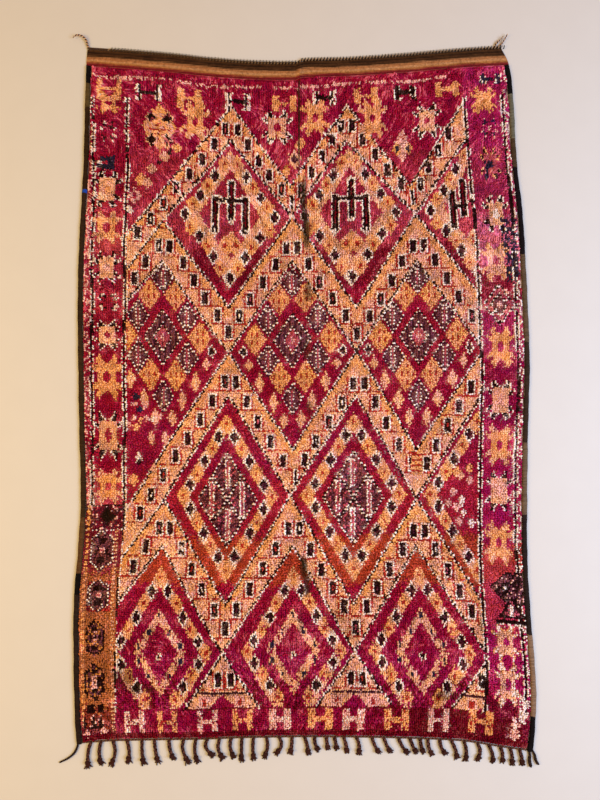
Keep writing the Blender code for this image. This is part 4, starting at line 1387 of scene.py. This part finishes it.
def strands_mesh(name, routes, radii, around):
    """Strands of the same number of rings as one mesh, with each vertex's strand and ring."""
    routes = np.array(routes)
    radii = np.array(radii)
    pattern, ring, angle = tube_mesh(name + "_pattern", around, routes.shape[1])
    places = strand_places(routes, radii, ring, angle)
    places[..., 2] = np.maximum(places[..., 2], 0.0003)
    mesh = joined_copies(name, pattern, in_part_frame(places[..., 0], places[..., 1], places[..., 2]))
    bpy.data.meshes.remove(pattern)
    close_up(mesh)
    mesh.polygons.foreach_set("use_smooth", np.ones(len(mesh.polygons), dtype=bool))
    strand = np.repeat(np.arange(len(routes)), len(ring))
    return mesh, strand, np.tile(ring, len(routes))


def join_meshes(name, meshes):
    form = bmesh.new()
    for mesh in meshes:
        form.from_mesh(mesh)
    whole = bpy.data.meshes.new(name)
    form.to_mesh(whole)
    form.free()
    for mesh in meshes:
        bpy.data.meshes.remove(mesh)
    whole.polygons.foreach_set("use_smooth", np.ones(len(whole.polygons), dtype=bool))
    return whole


def tails_mesh(name, tails, colours):
    plies = []
    girths = []
    for stops in tails:
        route, size = smooth_route(stops, TAIL_RINGS)
        pair, girth = twisted_pair(route, size, TAIL_RADIUS, TWIST_PITCH)
        plies += pair
        girths += [girth, girth]
    mesh, strand, _ = strands_mesh(name, plies, girths, 6)
    shown_colours = np.array([linear(colours[index % len(colours)]) for index in range(len(plies))])
    colour_points(mesh, shown_colours[strand])
    return mesh


goat_hair = wool_material("wrapped_goat_hair", 320.0, 0.45, 0.0012)
for name, side, hair, tails, slot_name in (
    ("side_cord_left_wrapped", -1, LEFT_HAIR, [SIDE_LEFT_TAIL], "side_cord_dark"),
    ("side_cord_right_wrapped", 1, RIGHT_HAIR, SIDE_RIGHT_TAILS, "side_cord_brown"),
):
    cord_mesh = side_cord_mesh(name, side, hair)
    tail_mesh = tails_mesh(name + "_tails", tails, SIDE_TAIL_DYES)
    cord = add_piece(name, join_meshes(name, [cord_mesh, tail_mesh]), goat_hair)
    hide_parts("side_cord_left" if side < 0 else "side_cord_right")


# The cord across the flat-woven end: one dark and one pale wool ply twined over the warp ends,
# so it shows as slanting ticks, and it runs out into loose tails at both corners.
END_CORD_WIDTH = 0.009
END_CORD_RADIUS = 0.0046
END_CORD_LIFT = 0.0042
END_TWINE_PITCH = 0.0135
END_CORD_RINGS = 1000
# Both plies are dark over the first rings, at the left corner
FIRST_RINGS = 45
TWINE_DYES = ["2e2016", "a07c58"]
FIRST_TWINE_DYE = "4a3424"
END_TAIL_DYES = ["2a1c18", "c79a78"]
FLAT_END_TAILS = [
    [Stop(-0.897, 2.752, 0.0035, 1.0), Stop(-0.904, 2.766, 0.0045, 1.1), Stop(-0.909, 2.786, 0.0080, 1.1),
     Stop(-0.924, 2.802, 0.0120, 1.0), Stop(-0.948, 2.807, 0.0130, 0.8), Stop(-0.966, 2.795, 0.0110, 0.3)],
    [Stop(0.820, 2.756, 0.0035, 0.8), Stop(0.838, 2.772, 0.0060, 0.8), Stop(0.852, 2.794, 0.0100, 0.7),
     Stop(0.862, 2.811, 0.0120, 0.6)],
    [Stop(0.806, 2.755, 0.0035, 0.8), Stop(0.817, 2.775, 0.0060, 0.9), Stop(0.832, 2.789, 0.0080, 0.6),
     Stop(0.844, 2.804, 0.0090, 0.4)],
]


def end_cord_route(along, inset, rings, lift):
    share = np.linspace(-1.0, 1.0, rings)
    at = np.full(rings, along)
    x = across_x(share, at, inset)
    return np.stack([x, weft_y(x, at), lift + pleat_lift(x, at)], axis=-1)


route = end_cord_route(RUG_LENGTH - END_CORD_WIDTH / 2, 0.001, END_CORD_RINGS, END_CORD_LIFT)
pair, girth = twisted_pair(route, np.ones(END_CORD_RINGS), END_CORD_RADIUS, END_TWINE_PITCH)
twine, strand, ring = strands_mesh("twine", pair, [girth, girth], 6)
twine_dyes = np.array([linear(dye) for dye in TWINE_DYES])
first_part = (ring < FIRST_RINGS)[:, None]
colour_points(twine, np.where(first_part, linear(FIRST_TWINE_DYE), twine_dyes[strand]))
end_tails = tails_mesh("end_tails", FLAT_END_TAILS, END_TAIL_DYES)

# Dark stitches over the cord hold it to the warp ends. Each has four points: slant across, place
# past the edge and height.
STITCH_PITCH = 0.0135
STITCH_GIRTH = 0.0019
STITCH_DYE = "170e08"
StitchPoint = namedtuple("StitchPoint", "slant past_edge height")
STITCH = [
    StitchPoint(-1, -0.0115, 0.0046), StitchPoint(0, -0.0055, 0.0096), StitchPoint(1, 0.0008, 0.0090),
    StitchPoint(2, 0.0042, 0.0050),
]
stitches = []
for edge_x in np.arange(-0.80, 0.855, STITCH_PITCH):
    edge_y = float(weft_y(np.array([edge_x]), np.array([RUG_LENGTH]))[0])
    slant = 0.0012 + 0.0006 * chance.standard_normal()
    stitches.append([
        (edge_x + point.slant * slant, edge_y + point.past_edge, point.height) for point in STITCH])
stitch_girths = np.full((len(stitches), len(STITCH)), STITCH_GIRTH)
stitch_mesh, strand, _ = strands_mesh("stitches", stitches, stitch_girths, 4)
stitch_shades = chance.uniform(0.7, 1.6, len(stitches))
colour_points(stitch_mesh, linear(STITCH_DYE) * stitch_shades[strand][:, None])
twined_wool = wool_material("twined_end_wool", 1300.0, 0.25, 0.0007)
twine_mesh = join_meshes("flat_end_twine", [twine, stitch_mesh, end_tails])
flat_end_twine = add_piece("flat_end_twine", twine_mesh, twined_wool)
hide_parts("flat_end_cord")


# The braided fringe: the warps of the fringe end plaited three by three into short braids, each
# stopped with an overhand knot above a splayed tuft, behind a thin brown twined cord.
Braid = namedtuple("Braid", "root reach lean bow")
BRAIDS = [
    Braid(-0.788, 0.085, -0.005, -0.009), Braid(-0.750, 0.076, 0.003, -0.007),
    Braid(-0.706, 0.082, -0.006, 0.010), Braid(-0.654, 0.073, 0.008, 0.007),
    Braid(-0.598, 0.081, 0.009, -0.001), Braid(-0.552, 0.076, 0.016, 0.001),
    Braid(-0.497, 0.065, 0.019, -0.001), Braid(-0.444, 0.078, 0.022, -0.006),
    Braid(-0.397, 0.076, 0.007, -0.006), Braid(-0.354, 0.058, 0.026, -0.012),
    Braid(-0.309, 0.068, 0.014, -0.008), Braid(-0.266, 0.065, 0.012, -0.006),
    Braid(-0.226, 0.076, -0.002, -0.001), Braid(-0.183, 0.073, 0.002, -0.003),
    Braid(-0.135, 0.068, -0.008, 0.006), Braid(-0.089, 0.059, -0.014, 0.013),
    Braid(-0.040, 0.054, -0.006, 0.001), Braid(0.007, 0.056, 0.015, 0.006),
    Braid(0.046, 0.045, 0.014, -0.003), Braid(0.088, 0.038, 0.006, 0.001),
    Braid(0.119, 0.040, 0.009, 0.002), Braid(0.152, 0.049, 0.012, 0.006),
    Braid(0.200, 0.055, 0.009, 0.008), Braid(0.258, 0.052, 0.028, 0.003),
    Braid(0.302, 0.048, 0.026, 0.004), Braid(0.358, 0.052, 0.034, 0.003),
    Braid(0.399, 0.047, 0.024, 0.004), Braid(0.438, 0.045, 0.011, 0.000),
    Braid(0.467, 0.053, 0.015, -0.001), Braid(0.512, 0.050, 0.021, -0.002),
    Braid(0.553, 0.061, 0.021, 0.009), Braid(0.601, 0.064, 0.005, 0.006),
    Braid(0.650, 0.058, -0.002, 0.010), Braid(0.692, 0.058, 0.014, 0.009),
    Braid(0.736, 0.050, 0.006, 0.005), Braid(0.772, 0.052, 0.007, 0.004),
    Braid(0.806, 0.048, 0.010, 0.004),
]
ROOT_DEPTH = 0.0045
PLAIT_RINGS = 26
PLAIT_PITCH = 0.018
PLAIT_REACH = 0.0040
PLAIT_RADIUS = 0.0034
KNOT_AT = 0.80
KNOT_RADIUS = 0.0070
KNOT_GIRTH = 0.0045
KNOT_RINGS = 14
TUFT_ENDS = 11
TUFT_RINGS = 5
EDGE_TWINE_RINGS = 620
EDGE_TWINE_LIFT = 0.0040
EDGE_TWINE_RADIUS = 0.0038
EDGE_TWINE_PITCH = 0.013
BRAID_HEIGHT = 0.0058
BRAID_LIFT = 0.0018
KNOT_HEIGHT = 0.0072
KNOT_LIFT = 0.0036
KNOT_TURNS = 1.6
KNOT_LENGTH = 0.0075
TUFT_HEIGHT = 0.0055
TUFT_GIRTH = 0.0028
TUFT_FAN = 0.6
BRAID_DYES = ["46241a", "281310", "5e3a30"]
KNOT_DYE = "3a1d16"
TUFT_DYE = "40211a"
EDGE_DYES = ["4c2e20", "72503a"]


def braid_place(braid, share):
    """The middle of a braid at a share of its length, and its direction."""
    sideways = braid.lean * share ** 2 + braid.bow * np.sin(math.pi * share)
    start = float(weft_y(np.array([braid.root]), np.array([0.0]))[0]) + ROOT_DEPTH
    return braid.root + sideways, start - (braid.reach + ROOT_DEPTH) * share


plaits = []
plait_girths = []
knots_made = []
knot_girths = []
loose_ends = []
loose_girths = []
for braid in BRAIDS:
    share = np.linspace(0.0, KNOT_AT + 0.02, PLAIT_RINGS)
    middle_x, middle_y = braid_place(braid, share)
    run = (braid.reach + ROOT_DEPTH) * share
    for part in range(3):
        phase = 2.0 * math.pi * (run / PLAIT_PITCH + part / 3.0)
        plaits.append(np.stack([
            middle_x + PLAIT_REACH * np.sin(phase), middle_y,
            BRAID_HEIGHT + BRAID_LIFT * np.sin(2.0 * phase)], axis=-1))
        plait_girths.append(PLAIT_RADIUS * chance.uniform(0.7, 1.35, PLAIT_RINGS))
    at_x, at_y = braid_place(braid, np.array([KNOT_AT, KNOT_AT + 0.05]))
    ahead = np.array([at_x[1] - at_x[0], at_y[1] - at_y[0]])
    ahead = ahead / np.linalg.norm(ahead)
    sideways = np.array([-ahead[1], ahead[0]])
    wind = np.linspace(0.0, 1.0, KNOT_RINGS)
    angle = 2.0 * math.pi * KNOT_TURNS * wind + chance.uniform(0.0, 3.0)
    forward = KNOT_LENGTH * (wind - 0.35)
    knots_made.append(np.stack([
        at_x[0] + ahead[0] * forward + sideways[0] * KNOT_RADIUS * np.cos(angle),
        at_y[0] + ahead[1] * forward + sideways[1] * KNOT_RADIUS * np.cos(angle),
        KNOT_HEIGHT + KNOT_LIFT * np.sin(angle)], axis=-1))
    knot_girths.append(KNOT_GIRTH * chance.uniform(0.75, 1.25, KNOT_RINGS))
    tip_x, tip_y = braid_place(braid, np.array([0.86, 1.0]))
    spread = np.linspace(-1.0, 1.0, TUFT_ENDS) + 0.12 * chance.standard_normal(TUFT_ENDS)
    out = np.linspace(0.0, 1.0, TUFT_RINGS)
    length = 0.17 * (braid.reach + ROOT_DEPTH) + 0.005
    for fan in spread:
        turned = ahead * math.cos(TUFT_FAN * fan) + sideways * math.sin(TUFT_FAN * fan)
        reach = length * chance.uniform(0.6, 1.2) * out
        hump = 0.0012 * chance.standard_normal() * out * (1 - out) * 4
        loose_ends.append(np.stack([
            tip_x[0] + turned[0] * reach + sideways[0] * 0.003 * fan,
            tip_y[0] + turned[1] * reach + sideways[1] * 0.003 * fan,
            TUFT_HEIGHT - 0.003 * out + hump], axis=-1))
        loose_girths.append(TUFT_GIRTH * (1.0 - 0.45 * out))

plait_mesh, strand, _ = strands_mesh("plaits", plaits, plait_girths, 5)
braid_dyes = np.array([linear(dye) for dye in BRAID_DYES])
lots = chance.uniform(0.8, 1.2, len(BRAIDS))
colour_points(plait_mesh, braid_dyes[strand % 3] * lots[strand // 3][:, None])
knot_mesh, strand, _ = strands_mesh("knots", knots_made, knot_girths, 5)
colour_points(knot_mesh, linear(KNOT_DYE) * lots[strand][:, None])
loose_mesh, strand, ring = strands_mesh("loose_ends", loose_ends, loose_girths, 4)
colour_points(loose_mesh, linear(TUFT_DYE) * lots[strand // TUFT_ENDS][:, None])
route = end_cord_route(END_CORD_WIDTH / 2, CORD_INSET, EDGE_TWINE_RINGS, EDGE_TWINE_LIFT)
pair, girth = twisted_pair(route, np.ones(EDGE_TWINE_RINGS), EDGE_TWINE_RADIUS, EDGE_TWINE_PITCH)
edge_mesh, strand, _ = strands_mesh("edge_twine", pair, [girth, girth], 5)
edge_dyes = np.array([linear(dye) for dye in EDGE_DYES])
colour_points(edge_mesh, edge_dyes[strand])
braid_wool = wool_material("plaited_warp_wool", 1300.0, 0.3, 0.0007)
fringe_mesh = join_meshes("fringe_plaits", [plait_mesh, knot_mesh, loose_mesh, edge_mesh])
fringe = add_piece("fringe_plaits", fringe_mesh, braid_wool)
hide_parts("braided_fringe")


# The photographer's set: a plain pale floor, soft light from the window side and a warmer fill,
# and the camera almost straight above.
bpy.ops.mesh.primitive_plane_add(size=14.0, location=(0.0, 0.0, 0.0))
floor = bpy.context.object
floor.name = "floor"
floor_paint = bpy.data.materials.new("pale_floor")
floor_paint.use_nodes = True
nodes, links = floor_paint.node_tree.nodes, floor_paint.node_tree.links
shader = nodes["Principled BSDF"]
shader.inputs["Specular IOR Level"].default_value = 0.2
position = nodes.new("ShaderNodeTexCoord")
mottle = nodes.new("ShaderNodeTexNoise")
mottle.inputs["Scale"].default_value = 9.0
mottle.inputs["Detail"].default_value = 5.0
links.new(position.outputs["Object"], mottle.inputs["Vector"])
tone = nodes.new("ShaderNodeMix")
tone.data_type = "RGBA"
tone.inputs["A"].default_value = (*linear("cdc4b9"), 1.0)
tone.inputs["B"].default_value = (*linear("d1c8bd"), 1.0)
links.new(mottle.outputs["Fac"], tone.inputs["Factor"])
links.new(tone.outputs["Result"], shader.inputs["Base Color"])
shader.inputs["Roughness"].default_value = 0.7
floor.data.materials.append(floor_paint)

Lamp = namedtuple("Lamp", "name place aim size power colour")
LAMPS = [
    Lamp("window", (3.4, -0.6, 3.0), (0.3, -0.2, 0.0), 2.5, 255.0, (0.45, 0.64, 1.0)),
    Lamp("fill", (-3.4, -0.6, 3.2), (-0.3, -0.2, 0.0), 2.5, 124.0, (1.0, 0.705, 0.16)),
]
for lamp in LAMPS:
    light = bpy.data.lights.new(lamp.name, "AREA")
    light.size = lamp.size
    light.energy = lamp.power
    light.color = lamp.colour
    holder = bpy.data.objects.new(lamp.name, light)
    holder.location = lamp.place
    holder.rotation_euler = (Vector(lamp.aim) - Vector(lamp.place)).to_track_quat("-Z", "Y").to_euler()
    bpy.context.scene.collection.objects.link(holder)

ROOM_COLOUR = (1.0, 0.75, 0.55, 1.0)
ROOM_STRENGTH = 0.60
world = bpy.data.worlds.new("soft_room")
world.use_nodes = True
room_light = world.node_tree.nodes["Background"]
room_light.inputs["Color"].default_value = ROOM_COLOUR
room_light.inputs["Strength"].default_value = ROOM_STRENGTH
bpy.context.scene.world = world
bpy.context.scene.view_settings.view_transform = "Standard"

CAMERA_PLACE = (0.02075, -0.33465, 2.36)
CAMERA_TILT = 6.0
LENS = 27.0
SENSOR_WIDTH = 36.0
camera = bpy.data.objects.new("camera", bpy.data.cameras.new("camera"))
camera.location = CAMERA_PLACE
camera.rotation_euler = (math.radians(CAMERA_TILT), 0.0, 0.0)
camera.data.lens = LENS
camera.data.sensor_width = SENSOR_WIDTH
camera.data.clip_end = 40.0
bpy.context.scene.collection.objects.link(camera)
bpy.context.scene.camera = camera
